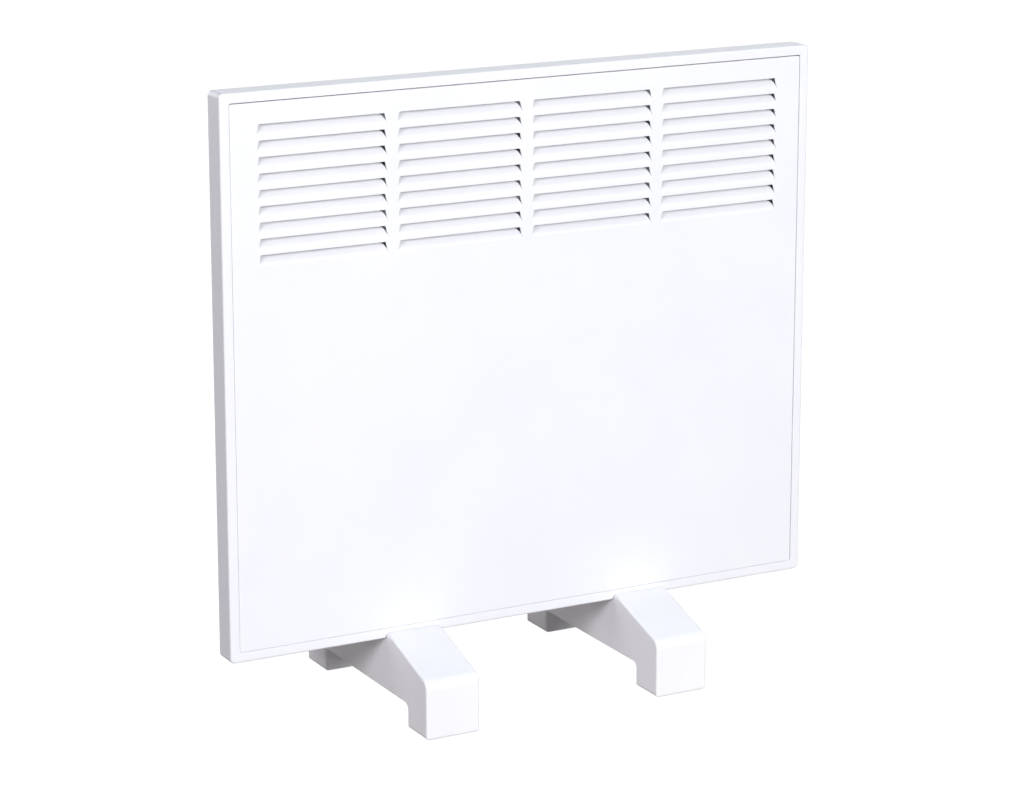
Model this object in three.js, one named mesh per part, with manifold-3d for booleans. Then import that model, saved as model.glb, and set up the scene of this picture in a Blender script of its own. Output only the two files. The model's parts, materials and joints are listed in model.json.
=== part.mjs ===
// Wall panel convector heater standing on two moulded feet.
// Millimetres, +Z up, the front faces -Y. The origin is on the floor, under the middle of the casing.
import * as THREE from 'three';
import { mergeVertices } from 'three/addons/utils/BufferGeometryUtils.js';
import Module from 'manifold-3d';

const wasm = await Module();
wasm.setup();

// ---- Clearances ----
const seatGap = 0.3; // between two pieces that rest on each other
const runningGap = 0.3; // round a shaft, pin or rocker that turns

// ---- Casing ----
const panelWidth = 520;
const panelHeight = 445;
const floorClearance = 63; // floor to the casing's underside
const casingDepth = 78;
const frameDepth = 22; // the wide front frame, before the casing steps in
const steel = 1.2;
const thinSteel = 0.8;
const frameCorner = 4;
const frameEdgeRound = 0.8;
const rimWidth = 8; // flat face of the frame round the front panel
const panelJoint = 0.4; // fine joint line round the front panel
const panelRecess = 0.4;
const panelCorner = 1.5;
const panelFlange = 12;
const casingSideInset = 26;
const casingTopInset = 12;
const lipWidth = 9;

// ---- Louvres in the front panel ----
const louvreColumns = 4;
const louvreRows = 9;
const louvreSideMargin = 30;
const louvreTopMargin = 25.3;
const louvreColumnGap = 8.6;
const louvrePitch = 12.5;
const slotHeight = 8;
const slotTaper = 1.5; // each end of a slot leans in by this much at its top
const finDepth = 5.5;
const finTopGap = 1.5;
const finSideGap = 0.4;
const finTaper = 2.2; // each end of a fin leans this much more than the slot's end

// ---- Clips, screws ----
const clipHeight = 24;
const clipDepth = 14;
const clipFromEnd = 70;
const screwShank = 1.8;
const screwHead = 3.6;
const screwHeadHeight = 2;
const screwLength = 9;
const screwSlot = 0.8;
const screwClearance = 0.3;
const casingScrewFromEnd = 60;

// ---- Base plate ----
const inletPitch = 12;
const inletWidth = 5;
const inletMargin = 5;
const baseFlange = 12;
const flangeGap = 1; // between the side flanges of the base plate and of the heat shield

// ---- Wall hanging slots ----
const hookSpacing = 300;
const hookWidth = 36;
const hookHeight = 10;
const hookFromTop = 46;

// ---- Heating element ----
const elementHeight = 75; // above the casing's underside
const elementEndSpace = 36.7; // from each end of the bar to the walls of the hot air duct
const finnedReach = 16; // from the axis to the tip of a fin, along Y and Z
const finnedThickness = 2.4;
const sheathRadius = 4;
const sheathOverhang = 15;
const pinRadius = 1.5;
const pinLength = 13;
const pinSocket = 5;
const bracketGap = 7;
const bracketReach = 18;
const bracketFoot = 14;
const bushWall = 3;
const bushFlange = 2;

// ---- Air guides ----
const shieldBelowLouvres = 22;
const shieldSetback = 2;
const flangeToThermostat = 1.9; // from the shield's side flanges to the thermostat
const deflectorRise = 55;
const deflectorFoot = 20;
const deflectorFromTop = 80;

// ---- Control bay on the right-hand side ----
const bayWidth = 36;
const fasciaWidth = 42;
const fasciaThickness = 3;
const fasciaCorner = 5;
const fasciaFromBayTop = 15;
const fasciaScrewInset = 8;
const screwToKnob = 0.4; // from the upper screw's head to the knob, and so on down the fascia
const knobToLens = 8.6;
const lensToSwitch = 10.1;
const switchToScrew = 1.9;
const thermostatSize = { x: 26, y: 30, z: 34 };
const bushingRadius = 4.6;
const shaftRadius = 3;
const shaftSocket = 12;
const knobRadius = 16;
const knobGripRadius = 13.5;
const knobSkirt = 3;
const knobHeight = 15;
const knobBore = 11;
const knobRidge = 1.2;
const knobRest = 135; // degrees that the ridge stands from straight up, at the lowest setting
const bladeLength = 6;
const bladeWidth = 6.3;
const bladeThickness = 0.8;
const bladeSpacing = 10;
const firstBladeInset = 8; // from the thermostat's mounting face
const switchSize = { x: 20, y: 14, z: 21 };
const switchWall = 1.5;
const bezelBorder = 2;
const bezelThickness = 1.6;
const rockerTilt = 8; // degrees either side of level
const rockerPivotDepth = 3.8;
const rockerDrop = 4;
const trunnionRadius = 1.2;
const trunnionReach = 0.7;
const lensRadius = 3.4;
const lensLength = 8;
const lensBrim = 1;

// ---- Thermostat bulb, terminals, gland and wires ----
const bulbRadius = 2.5;
const bulbLength = 60;
const bulbFromBase = 12;
const bulbFromPartition = 5.5;
const capillaryRadius = 0.8;
const bulbClipHeight = 8;
const bulbClipWall = 2;
const terminalSize = { x: 28, y: 14, z: 22 };
const terminalFromBase = 57;
const terminalPitch = 9;
const glandFromBase = 37;
const glandBore = 4.5;
const glandBody = 7.5;
const glandFlange = 11;
const glandNose = 11;
const cutoutRadius = 9;
const cutoutHeight = 9;
const bladeRise = 1.6; // of the cut-out's blades above its foot
const cutoutAboveElement = 62;
const cutoutFromMiddle = 60;
const wireRadius = 1.1;
const grommetRadius = 7;
const grommetAboveElement = 77;
const earthAboveTerminals = 30;
const wireStub = 2; // straight end of a wire where it leaves a terminal
const wireBend = 10;
const feedBend = 28; // below the switch, where the live feed turns up to it
const feedRun = 62; // below the switch, where it stands clear of the terminals
const bulbLead = 60; // straight run of the capillary above the bulb
const cutoutRun = 55; // from the cut-out to the last bend of its wire
const cutoutTail = 14; // straight end of a wire beside the cut-out
const cutoutDrop = 12; // from the cut-out down to the run behind the element's bracket
const bracketRun = 20; // along that run, from the bracket
const pinRise = 30; // above an element's pin, where its wire turns down to it
const pinBend = 8;
const grommetDrop = 30; // below the grommet, where the neutral wire turns up to it
const loopDrop = 26; // below the switch, the low point of the thermostat's wire
const loopRear = 14; // behind the controls' middle line
const loopSide = 8;
const capillaryTurn = 10; // below the lens, where the capillary swings over to the thermostat
const capillaryTail = 14;

// ---- Feet ----
const footSpacing = 207;
const footWidth = 46.7;
const footReach = 109.4; // from the middle of the casing to the end of a toe
const toeLength = 33;
const toeHeight = 46.6;
const toeRound = 9;
const archHeight = 19.8;
const archRound = 5;
const footWall = 3;
const footEdgeRound = 1.4;
const footLipHeight = 5.4;
const footLipThickness = 4.2;
const footLipRound = 1.5;
const footScrewSpacing = 56;

// ---- Places worked out from the sizes above ----
const frontY = -casingDepth / 2;
const backY = casingDepth / 2;
const frameBackY = frontY + frameDepth;
const bottomZ = floorClearance;
const topZ = bottomZ + panelHeight;
const sideX = panelWidth / 2;
const casingX = sideX - casingSideInset;
const casingTopZ = topZ - casingTopInset;
const casingFrontY = frameBackY + seatGap;
const wallX = casingX - steel; // inner face of the casing's side wall
const wallY = backY - steel; // inner face of its back wall
const ceilingZ = casingTopZ - steel;
const floorZ = bottomZ + steel; // upper face of the base plate
const panelFaceY = frontY + panelRecess;
const louvreTopZ = topZ - louvreTopMargin;
const louvreBottomZ = louvreTopZ - (louvreRows - 1) * louvrePitch - slotHeight;
const shieldY = casingFrontY + shieldSetback;
const shieldBackY = shieldY + thinSteel;
const shieldTopZ = louvreBottomZ - shieldBelowLouvres;
const controlY = (frameBackY + backY) / 2;
const flangeEndY = controlY - thermostatSize.y / 2 - flangeToThermostat; // rear edge of the shield's flanges
const bayX = wallX - bayWidth; // face of the partition towards the controls
const ductX = bayX - steel; // its face towards the element
const fasciaTopZ = shieldTopZ - fasciaFromBayTop;
const fasciaX = casingX + seatGap;
const fasciaFaceX = fasciaX + fasciaThickness;
const belowScrew = Math.max(knobRadius + screwHead, thermostatSize.z / 2 + screwShank) + screwToKnob;
const knobZ = fasciaTopZ - fasciaScrewInset - belowScrew;
const lensZ = knobZ - knobRadius - knobToLens - lensRadius - lensBrim;
const bezelHalfZ = switchSize.z / 2 + bezelBorder;
const switchZ = lensZ - lensRadius - lensBrim - lensToSwitch - bezelHalfZ;
const fasciaBottomZ = switchZ - bezelHalfZ - switchToScrew - screwHead - fasciaScrewInset;
const thermostatX = wallX - seatGap; // mounting face of the thermostat
const switchBackX = fasciaFaceX + seatGap - switchSize.x;
const pivotX = fasciaFaceX + seatGap - rockerPivotDepth + bezelThickness;
const elementY = (shieldBackY + wallY) / 2;
const elementZ = bottomZ + elementHeight;
const elementX = (ductX - wallX) / 2; // middle of the element's length
const elementLength = ductX + wallX - 2 * elementEndSpace;
const sheathHalf = elementLength / 2 + sheathOverhang;
const bracketX = elementLength / 2 + bracketGap;
const pinEnd = sheathHalf - pinSocket + pinLength;
const bushingBore = sheathRadius + seatGap;
const bushingHole = bushingBore + bushWall + seatGap;
const terminalX = bayX + seatGap + 2;
const terminalTopZ = bottomZ + terminalFromBase + terminalSize.z;
const bulbX = bayX + bulbFromPartition;
const bulbY = controlY - 3;
const bulbZ = floorZ + bulbFromBase;
const glandZ = bottomZ + glandFromBase;
const cutoutZ = elementZ + cutoutAboveElement;
const grommetZ = elementZ + grommetAboveElement;
const earthZ = terminalTopZ + earthAboveTerminals;
const footX = footSpacing / 2;
const footTopZ = floorClearance - seatGap;
const footScrewY = footScrewSpacing / 2;

// ---- Finishes ----
function finish(color, roughness, metalness) {
  return new THREE.MeshStandardMaterial({ color, roughness, metalness });
}

const whiteEnamel = finish(0xf7f8fb, 0.42, 0.1);
const whitePlastic = finish(0xf8f8fa, 0.48, 0);
const galvanised = finish(0xb9bdc2, 0.4, 0.9);
const aluminium = finish(0xc9ccd0, 0.35, 0.95);
const zincScrew = finish(0xa9adb2, 0.3, 0.95);
const springSteel = finish(0x8f9398, 0.35, 0.9);
const ceramic = finish(0xe9e4d8, 0.7, 0);
const blackPlastic = finish(0x1c1d1f, 0.5, 0);
const greyPlastic = finish(0xc8cbd0, 0.5, 0);
const amberLens = finish(0xe0641e, 0.15, 0);
const copper = finish(0xb4703c, 0.35, 0.9);
const brownInsulation = finish(0x7a4a26, 0.6, 0);
const blueInsulation = finish(0x2b55a8, 0.6, 0);
const greenInsulation = finish(0x4d8f3a, 0.6, 0);

// ---- Shapes ----
function solidOf(geometry) {
  const bare = geometry.clone();
  bare.deleteAttribute('normal');
  bare.deleteAttribute('uv');
  const merged = mergeVertices(bare, 1e-4);
  const vertProperties = Float32Array.from(merged.attributes.position.array);
  const triVerts = Uint32Array.from(merged.index.array);
  return new wasm.Manifold(new wasm.Mesh({ numProp: 3, vertProperties, triVerts }));
}

function geometryOf(solid) {
  const mesh = solid.getMesh();
  const geometry = new THREE.BufferGeometry();
  geometry.setAttribute('position', new THREE.BufferAttribute(mesh.vertProperties, 3));
  geometry.setIndex(new THREE.BufferAttribute(mesh.triVerts, 1));
  geometry.computeVertexNormals();
  return geometry;
}

function join(...geometries) {
  return geometryOf(geometries.map(solidOf).reduce((whole, piece) => whole.add(piece)));
}

function cut(geometry, ...tools) {
  return geometryOf(tools.map(solidOf).reduce((rest, tool) => rest.subtract(tool), solidOf(geometry)));
}

// A block between two limits along each axis.
function slab([x0, x1], [y0, y1], [z0, z1]) {
  const geometry = new THREE.BoxGeometry(x1 - x0, y1 - y0, z1 - z0);
  return geometry.translate((x0 + x1) / 2, (y0 + y1) / 2, (z0 + z1) / 2);
}

// A round solid about the Y axis, from [radius, height] points that start and end on the axis.
function turned(profile, sides = 16) {
  return new THREE.LatheGeometry(profile.map(([r, h]) => new THREE.Vector2(r, h)), sides);
}

// A ring about the Y axis, from [radius, height] points that close on themselves.
function turnedRing(profile, sides = 16) {
  return turned([...profile, profile[0]], sides);
}

const turnToX = (geometry) => geometry.rotateZ(-Math.PI / 2);
const turnToZ = (geometry) => geometry.rotateX(Math.PI / 2);

function rod(radius, from, to, sides = 12) {
  return turned([[0, from], [radius, from], [radius, to], [0, to]], sides);
}

const rodX = (radius, [from, to], y, z) => turnToX(rod(radius, from, to)).translate(0, y, z);
const rodY = (radius, [from, to], x, z) => rod(radius, from, to).translate(x, 0, z);
const rodZ = (radius, [from, to], x, y) => turnToZ(rod(radius, from, to)).translate(x, y, 0);

// Extrudes an outline drawn in X and Z from y0 to y1.
function prismY(shape, [y0, y1], rounding = 0) {
  const geometry = new THREE.ExtrudeGeometry(shape, edgeSettings(y1 - y0, rounding));
  return geometry.translate(0, 0, rounding).rotateX(Math.PI / 2).translate(0, y1, 0);
}

// Extrudes an outline drawn in Y and Z from x0 to x1.
function prismX(shape, [x0, x1], rounding = 0) {
  const turn = new THREE.Matrix4().makeBasis(
    new THREE.Vector3(0, 1, 0), new THREE.Vector3(0, 0, 1), new THREE.Vector3(1, 0, 0));
  const geometry = new THREE.ExtrudeGeometry(shape, edgeSettings(x1 - x0, rounding));
  return geometry.translate(0, 0, rounding).applyMatrix4(turn).translate(x0, 0, 0);
}

function edgeSettings(depth, rounding) {
  const plain = { depth: depth - 2 * rounding, steps: 1, curveSegments: 3, bevelEnabled: rounding > 0 };
  const bevel = { bevelThickness: rounding, bevelSize: rounding, bevelOffset: -rounding, bevelSegments: 2 };
  return { ...plain, ...bevel };
}

function outline(points) {
  return new THREE.Shape(points.map(([a, b]) => new THREE.Vector2(a, b)));
}

// Rectangle centred on (0, middle) with round corners.
function roundedRectangle(width, height, radius, middle = 0) {
  const x = width / 2 - radius;
  const y = height / 2 - radius;
  const shape = new THREE.Shape();
  shape.absarc(x, middle + y, radius, 0, Math.PI / 2);
  shape.absarc(-x, middle + y, radius, Math.PI / 2, Math.PI);
  shape.absarc(-x, middle - y, radius, Math.PI, 1.5 * Math.PI);
  shape.absarc(x, middle - y, radius, 1.5 * Math.PI, 2 * Math.PI);
  shape.closePath();
  return shape;
}

// A round wire or tube along a smooth curve through the given points.
function tube(points, radius, steps) {
  const places = points.map((point) => new THREE.Vector3(...point));
  const path = new THREE.CatmullRomCurve3(places, false, 'centripetal');
  const section = new THREE.Shape();
  section.absarc(0, 0, radius, 0, 2 * Math.PI);
  return new THREE.ExtrudeGeometry(section, { steps, extrudePath: path, curveSegments: 3 });
}

const heater = new THREE.Group();

function add(name, geometry, material) {
  const mesh = new THREE.Mesh(geometry, material);
  mesh.name = name;
  heater.add(mesh);
  return mesh;
}

// ---- Front frame: a shallow steel tray, open in front for the panel and behind for the casing ----
function frontFrame() {
  const middle = bottomZ + panelHeight / 2;
  const outer = roundedRectangle(panelWidth, panelHeight, frameCorner, middle);
  const inside = [panelWidth - 2 * steel, panelHeight - 2 * steel, frameCorner - steel / 2, middle];
  const opening = [panelWidth - 2 * rimWidth, panelHeight - 2 * rimWidth, panelCorner + panelJoint, middle];
  const body = prismY(outer, [frontY, frameBackY], frameEdgeRound);
  const cavity = prismY(roundedRectangle(...inside), [frontY + steel, frameBackY - steel]);
  const frontOpening = prismY(roundedRectangle(...opening), [frontY - steel, frontY + 2 * steel]);
  const rearOpening = slab([-wallX, wallX], [frameBackY - 2 * steel, frameBackY + steel], [floorZ, ceilingZ]);
  const through = [frameBackY - 2 * steel, backY];
  const screwHoles = casingScrewPlaces.map(({ x, z }) => rodY(holeRadius, through, x, z));
  const footHoles = [-footX, footX].map((x) => rodZ(holeRadius, [0, floorZ + steel], x, -footScrewY));
  return cut(body, cavity, frontOpening, rearOpening, ...screwHoles, ...footHoles);
}

// ---- Front panel: steel sheet with folded edges and rows of pressed louvres ----
const panelOuterWidth = panelWidth - 2 * (rimWidth + panelJoint);
const panelOuterHeight = panelHeight - 2 * (rimWidth + panelJoint);
const slotWidth = (panelWidth - 2 * louvreSideMargin - (louvreColumns - 1) * louvreColumnGap) / louvreColumns;

function louvrePlaces() {
  const places = [];
  for (let column = 0; column < louvreColumns; column += 1) {
    const x = -sideX + louvreSideMargin + slotWidth / 2 + column * (slotWidth + louvreColumnGap);
    for (let row = 0; row < louvreRows; row += 1) {
      places.push({ x, z: louvreTopZ - slotHeight - row * louvrePitch });
    }
  }
  return places;
}

function louvreSlot({ x, z }) {
  const low = slotWidth / 2;
  const high = low - slotTaper;
  const shape = outline([[x - low, z], [x + low, z], [x + high, z + slotHeight], [x - high, z + slotHeight]]);
  return prismY(shape, [frontY, panelFaceY + 2 * steel]);
}

// The pressed fin leans inwards from the lower edge of its slot, and its ends lean as the slot's do.
function louvreFin({ x, z }) {
  const rise = slotHeight - finTopGap;
  const slant = Math.hypot(rise, finDepth);
  const back = [steel * rise / slant, -steel * finDepth / slant];
  const face = [[panelFaceY, z], [panelFaceY + finDepth, z + rise]];
  const rear = face.map(([y, height]) => [y + back[0], height + back[1]]).reverse();
  const fin = prismX(outline([...face, ...rear]), [-1, 1]);
  const corners = fin.attributes.position;
  for (let i = 0; i < corners.count; i += 1) {
    const height = corners.getZ(i) - z;
    const lean = slotTaper * height / slotHeight + finTaper * Math.max(height, 0) / rise;
    corners.setX(i, x + corners.getX(i) * (slotWidth / 2 - finSideGap - lean));
  }
  return fin;
}

function frontPanel() {
  const middle = bottomZ + panelHeight / 2;
  const face = roundedRectangle(panelOuterWidth, panelOuterHeight, panelCorner, middle);
  const sheet = cut(prismY(face, [panelFaceY, panelFaceY + steel]), ...louvrePlaces().map(louvreSlot));
  const inner = roundedRectangle(
    panelOuterWidth - 2 * steel, panelOuterHeight - 2 * steel, panelCorner - steel / 2, middle);
  const edge = prismY(face, [panelFaceY + steel / 2, panelFaceY + panelFlange]);
  const flange = cut(edge, prismY(inner, [frontY, panelFaceY + 2 * panelFlange]));
  return join(sheet, flange, ...louvrePlaces().map(louvreFin));
}

// ---- Spring clips that hold the panel's folded edge against the frame's side walls ----
function panelClip() {
  const width = rimWidth + panelJoint - steel - 2 * seatGap;
  const block = slab([0, width], [-clipDepth, 0], [-clipHeight / 2, clipHeight / 2]);
  const inside = [thinSteel, width - thinSteel];
  const channel = slab(inside, [-clipDepth - 1, -thinSteel], [-clipHeight, clipHeight]);
  return cut(block, channel);
}

// ---- Screws: the head is at the origin and the shank points along +Y ----
const holeRadius = screwShank + screwClearance;

function screw() {
  const body = turned([
    [0, -screwHeadHeight], [screwHead * 0.7, -screwHeadHeight], [screwHead, -screwHeadHeight * 0.4],
    [screwHead, 0], [screwShank, 0], [screwShank, screwLength - screwShank], [0, screwLength],
  ], 10);
  const depth = [-screwHeadHeight - 1, -screwHeadHeight / 2];
  return cut(body, slab([-screwHead - 1, screwHead + 1], depth, [-screwSlot / 2, screwSlot / 2]));
}

const lipMiddle = lipWidth / 2;
const casingScrewPlaces = [
  { name: 'casing_screw_left_lower', x: -casingX - lipMiddle, z: bottomZ + casingScrewFromEnd },
  { name: 'casing_screw_left_upper', x: -casingX - lipMiddle, z: casingTopZ - casingScrewFromEnd },
  { name: 'casing_screw_right_lower', x: casingX + lipMiddle, z: bottomZ + casingScrewFromEnd },
  { name: 'casing_screw_right_upper', x: casingX + lipMiddle, z: casingTopZ - casingScrewFromEnd },
  { name: 'casing_screw_top_left', x: -casingX / 2, z: casingTopZ + lipMiddle },
  { name: 'casing_screw_top_right', x: casingX / 2, z: casingTopZ + lipMiddle },
];

// ---- Rear casing: sides, top and back folded from one sheet, with lips that lie on the frame ----
const baseScrewZ = floorZ + baseFlange / 2;
const fasciaScrewPlaces = [
  { name: 'fascia_screw_upper', z: fasciaTopZ - fasciaScrewInset },
  { name: 'fascia_screw_lower', z: fasciaBottomZ + fasciaScrewInset },
];

// Everything that passes through the right-hand wall and the control fascia.
function controlHoles(range) {
  const halfY = switchSize.y / 2 + seatGap;
  const halfZ = switchSize.z / 2 + seatGap;
  return [
    rodX(bushingRadius + seatGap, range, controlY, knobZ),
    rodX(lensRadius + seatGap, range, controlY, lensZ),
    slab(range, [controlY - halfY, controlY + halfY], [switchZ - halfZ, switchZ + halfZ]),
    ...fasciaScrewPlaces.map(({ z }) => rodX(holeRadius, range, controlY, z)),
  ];
}

function rearCasing() {
  const shell = slab([-casingX, casingX], [casingFrontY, backY], [bottomZ, casingTopZ]);
  const hollow = slab([-wallX, wallX], [casingFrontY - 1, wallY], [bottomZ - 1, ceilingZ]);
  const lipX = casingX + lipWidth;
  const lipY = [casingFrontY, casingFrontY + steel];
  const lipTopZ = casingTopZ + lipWidth;
  const sideLips = [[-lipX, -wallX], [wallX, lipX]].map((x) => slab(x, lipY, [bottomZ, lipTopZ]));
  const topLip = slab([-lipX, lipX], lipY, [ceilingZ, lipTopZ]);
  const screwHoles = casingScrewPlaces.map(({ x, z }) => rodY(holeRadius, [frontY, lipY[1] + 1], x, z));
  const hookZ = casingTopZ - hookFromTop;
  const hookRange = [hookZ - hookHeight / 2, hookZ + hookHeight / 2];
  const hookSlots = [-hookSpacing / 2, hookSpacing / 2].map((x) => slab(
    [x - hookWidth / 2, x + hookWidth / 2], [wallY - 1, backY + 1], hookRange));
  const wall = [wallX - 1, casingX + 1];
  const gland = rodX(glandBody + seatGap, wall, controlY, glandZ);
  const baseScrews = rodX(holeRadius, [-casingX - 1, casingX + 1], controlY, baseScrewZ);
  const folded = join(cut(shell, hollow), ...sideLips, topLip);
  return cut(folded, ...screwHoles, ...hookSlots, ...controlHoles(wall), gland, baseScrews);
}

// ---- Base plate: closes the casing below, lets the air in and carries the rear foot screws ----
function inletSlots() {
  const halfFoot = footWidth / 2 + inletWidth;
  const reach = wallX - baseFlange - inletWidth;
  const nearY = casingFrontY + inletMargin;
  const farY = wallY - inletMargin;
  const middleY = (nearY + farY) / 2;
  const rows = [[nearY, middleY - inletMargin / 2], [middleY + inletMargin / 2, farY]];
  const slots = [];
  for (let x = -Math.floor(reach / inletPitch) * inletPitch; x <= reach; x += inletPitch) {
    const clearOfFeet = Math.abs(Math.abs(x) - footX) > halfFoot;
    const width = [x - inletWidth / 2, x + inletWidth / 2];
    if (clearOfFeet) slots.push(...rows.map((y) => slab(width, y, [bottomZ - 1, floorZ + 1])));
  }
  return slots;
}

function basePlate() {
  const reach = wallX - seatGap;
  const y0 = casingFrontY;
  const y1 = wallY - seatGap;
  const plate = slab([-reach, reach], [y0, y1], [bottomZ, floorZ]);
  const flangeY = [flangeEndY + flangeGap, y1];
  const flanges = [[-reach, -reach + steel], [reach - steel, reach]].map(
    (x) => slab(x, flangeY, [bottomZ, floorZ + baseFlange]));
  const footHoles = [-footX, footX].map((x) => rodZ(holeRadius, [0, floorZ + 1], x, footScrewY));
  const sideHoles = rodX(holeRadius, [-casingX, casingX], controlY, baseScrewZ);
  return cut(join(plate, ...flanges), ...inletSlots(), ...footHoles, sideHoles);
}

// ---- Heat shield: keeps the front panel cool below the louvres ----
function heatShield() {
  const reach = wallX - seatGap;
  const z = [floorZ + seatGap, shieldTopZ];
  const sheet = slab([-reach, reach], [shieldY, shieldBackY], z);
  const flangeY = [shieldY, flangeEndY];
  const flanges = [[-reach, -reach + thinSteel], [reach - thinSteel, reach]].map((x) => slab(x, flangeY, z));
  return join(sheet, ...flanges);
}

// ---- Air deflector: turns the rising air forwards, out through the louvres ----
function airDeflector() {
  const rearY = wallY - seatGap;
  const frontEdgeY = shieldBackY + seatGap;
  const bendZ = casingTopZ - deflectorFromTop;
  const lower = [
    [rearY, bendZ - deflectorFoot], [rearY, bendZ],
    [frontEdgeY + thinSteel, bendZ + deflectorRise], [frontEdgeY + thinSteel, ceilingZ - seatGap],
  ];
  const upper = lower.map(([y, z]) => [y - thinSteel, z === bendZ ? z - thinSteel / 2 : z]).reverse();
  return prismX(outline([...lower, ...upper]), [-wallX + seatGap, wallX - seatGap]);
}

// ---- Control partition: walls the switchgear off from the hot air ----
function controlPartition() {
  const y = [shieldBackY + seatGap, wallY - seatGap];
  const reach = wallX - 2 * seatGap - thinSteel;
  const wall = slab([ductX, bayX], y, [floorZ + seatGap, shieldTopZ]);
  const roof = slab([ductX, reach], y, [shieldTopZ - steel, shieldTopZ]);
  const range = [ductX - 1, bayX + 1];
  const grommetHole = rodX(grommetRadius, range, elementY, grommetZ);
  return cut(join(wall, roof), grommetHole, rodX(holeRadius, range, earthY, earthZ));
}

// A grooved ring that lines a hole of the given radius in a sheet, along X, centred on the sheet.
function grommet(hole, bore, sheet) {
  const body = hole - seatGap;
  const brim = hole + bushFlange;
  const groove = sheet / 2 + seatGap;
  const end = groove + bushFlange;
  return turnToX(turnedRing([
    [bore, -end], [brim, -end], [brim, -groove], [body, -groove],
    [body, groove], [brim, groove], [brim, end], [bore, end],
  ]));
}

// ---- Heating element: a sheathed rod in an extruded aluminium cross, held in a bracket at each end ----
function finnedBar() {
  const tip = finnedReach;
  const half = finnedThickness * Math.SQRT1_2;
  const root = sheathRadius + 3;
  const quarter = [[root, 0], [tip, tip - half], [tip, tip], [tip - half, tip]];
  const points = [];
  for (let turn = 0; turn < 4; turn += 1) {
    const [c, s] = [[1, 0], [0, 1], [-1, 0], [0, -1]][turn];
    points.push(...quarter.map(([y, z]) => [y * c - z * s, y * s + z * c]));
  }
  const bar = prismX(outline(points), [-elementLength / 2, elementLength / 2]);
  return cut(bar, rodX(sheathRadius + seatGap, [-elementLength, elementLength], 0, 0));
}

function elementSheath() {
  const sockets = [[-sheathHalf - 1, -sheathHalf + pinSocket], [sheathHalf - pinSocket, sheathHalf + 1]];
  const holes = sockets.map((range) => rodX(pinRadius + seatGap, range, 0, 0));
  return cut(rodX(sheathRadius, [-sheathHalf, sheathHalf], 0, 0), ...holes);
}

function elementBracket() {
  const y = [-bracketReach + 2, wallY - seatGap - elementY];
  const z = [-bracketReach, bracketReach];
  const web = slab([-steel / 2, steel / 2], y, z);
  const foot = slab([-steel / 2, bracketFoot], [y[1] - steel, y[1]], z);
  return cut(join(web, foot), rodX(bushingHole, [-steel, steel], 0, 0));
}

// ---- Thermal cut-out on the rear of the heat shield ----
function thermalCutout() {
  const disc = turned([
    [0, 0], [cutoutRadius, 0], [cutoutRadius, cutoutHeight * 0.5],
    [cutoutRadius - 2, cutoutHeight * 0.5], [cutoutRadius - 2, cutoutHeight], [0, cutoutHeight],
  ]);
  const reach = cutoutRadius + bladeLength;
  const bladeY = [bladeRise, bladeRise + bladeThickness];
  const blade = slab([-reach, reach], bladeY, [-bladeWidth / 2, bladeWidth / 2]);
  return join(disc, blade);
}

// ---- Thermostat: switch block with a threaded bush, its spindle and its knob ----
function thermostatBody() {
  const { x, y, z } = thermostatSize;
  const blockY = [controlY - y / 2, controlY + y / 2];
  const block = slab([thermostatX - x, thermostatX], blockY, [knobZ - z / 2, knobZ + z / 2]);
  const bush = rodX(bushingRadius, [thermostatX - 1, fasciaFaceX - seatGap], controlY, knobZ);
  const socket = [thermostatX - shaftSocket, fasciaFaceX + 1];
  const bore = rodX(shaftRadius + runningGap, socket, controlY, knobZ);
  const bladeZ = [knobZ - z / 2 - bladeLength, knobZ - z / 2 + 1];
  const blades = thermostatBladesX.map((middle) => slab(
    [middle - bladeThickness / 2, middle + bladeThickness / 2],
    [controlY - bladeWidth / 2, controlY + bladeWidth / 2], bladeZ));
  return cut(join(block, bush, ...blades), bore);
}

const bladeInsets = [firstBladeInset + bladeSpacing, firstBladeInset];
const thermostatBladesX = bladeInsets.map((inset) => thermostatX - inset);
const knobBackX = fasciaFaceX + 2 * runningGap;

function thermostatShaft() {
  const range = [thermostatX - shaftSocket + runningGap, knobBackX + knobBore - seatGap];
  return rodX(shaftRadius, range, controlY, knobZ);
}

function thermostatKnob() {
  const bore = shaftRadius + seatGap;
  const body = turned([
    [0, knobBore], [bore, knobBore], [bore, 0], [knobRadius, 0], [knobRadius, knobSkirt - 1],
    [knobRadius - 1, knobSkirt], [knobGripRadius, knobSkirt], [knobGripRadius - 0.8, knobHeight - 1.2],
    [knobGripRadius - 2, knobHeight], [0, knobHeight],
  ], 36);
  const ridge = slab([-1, 1], [knobHeight - 2, knobHeight + knobRidge], [0, knobGripRadius - 2.5]);
  const knob = turnToX(join(body, ridge)).rotateX(THREE.MathUtils.degToRad(knobRest));
  return knob.translate(knobBackX, controlY, knobZ);
}

// ---- Rocker switch ----
const cavityHalfY = switchSize.y / 2 - switchWall;
const cavityHalfZ = switchSize.z / 2 - switchWall - 0.5;
const bezelX = fasciaFaceX + seatGap;

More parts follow.
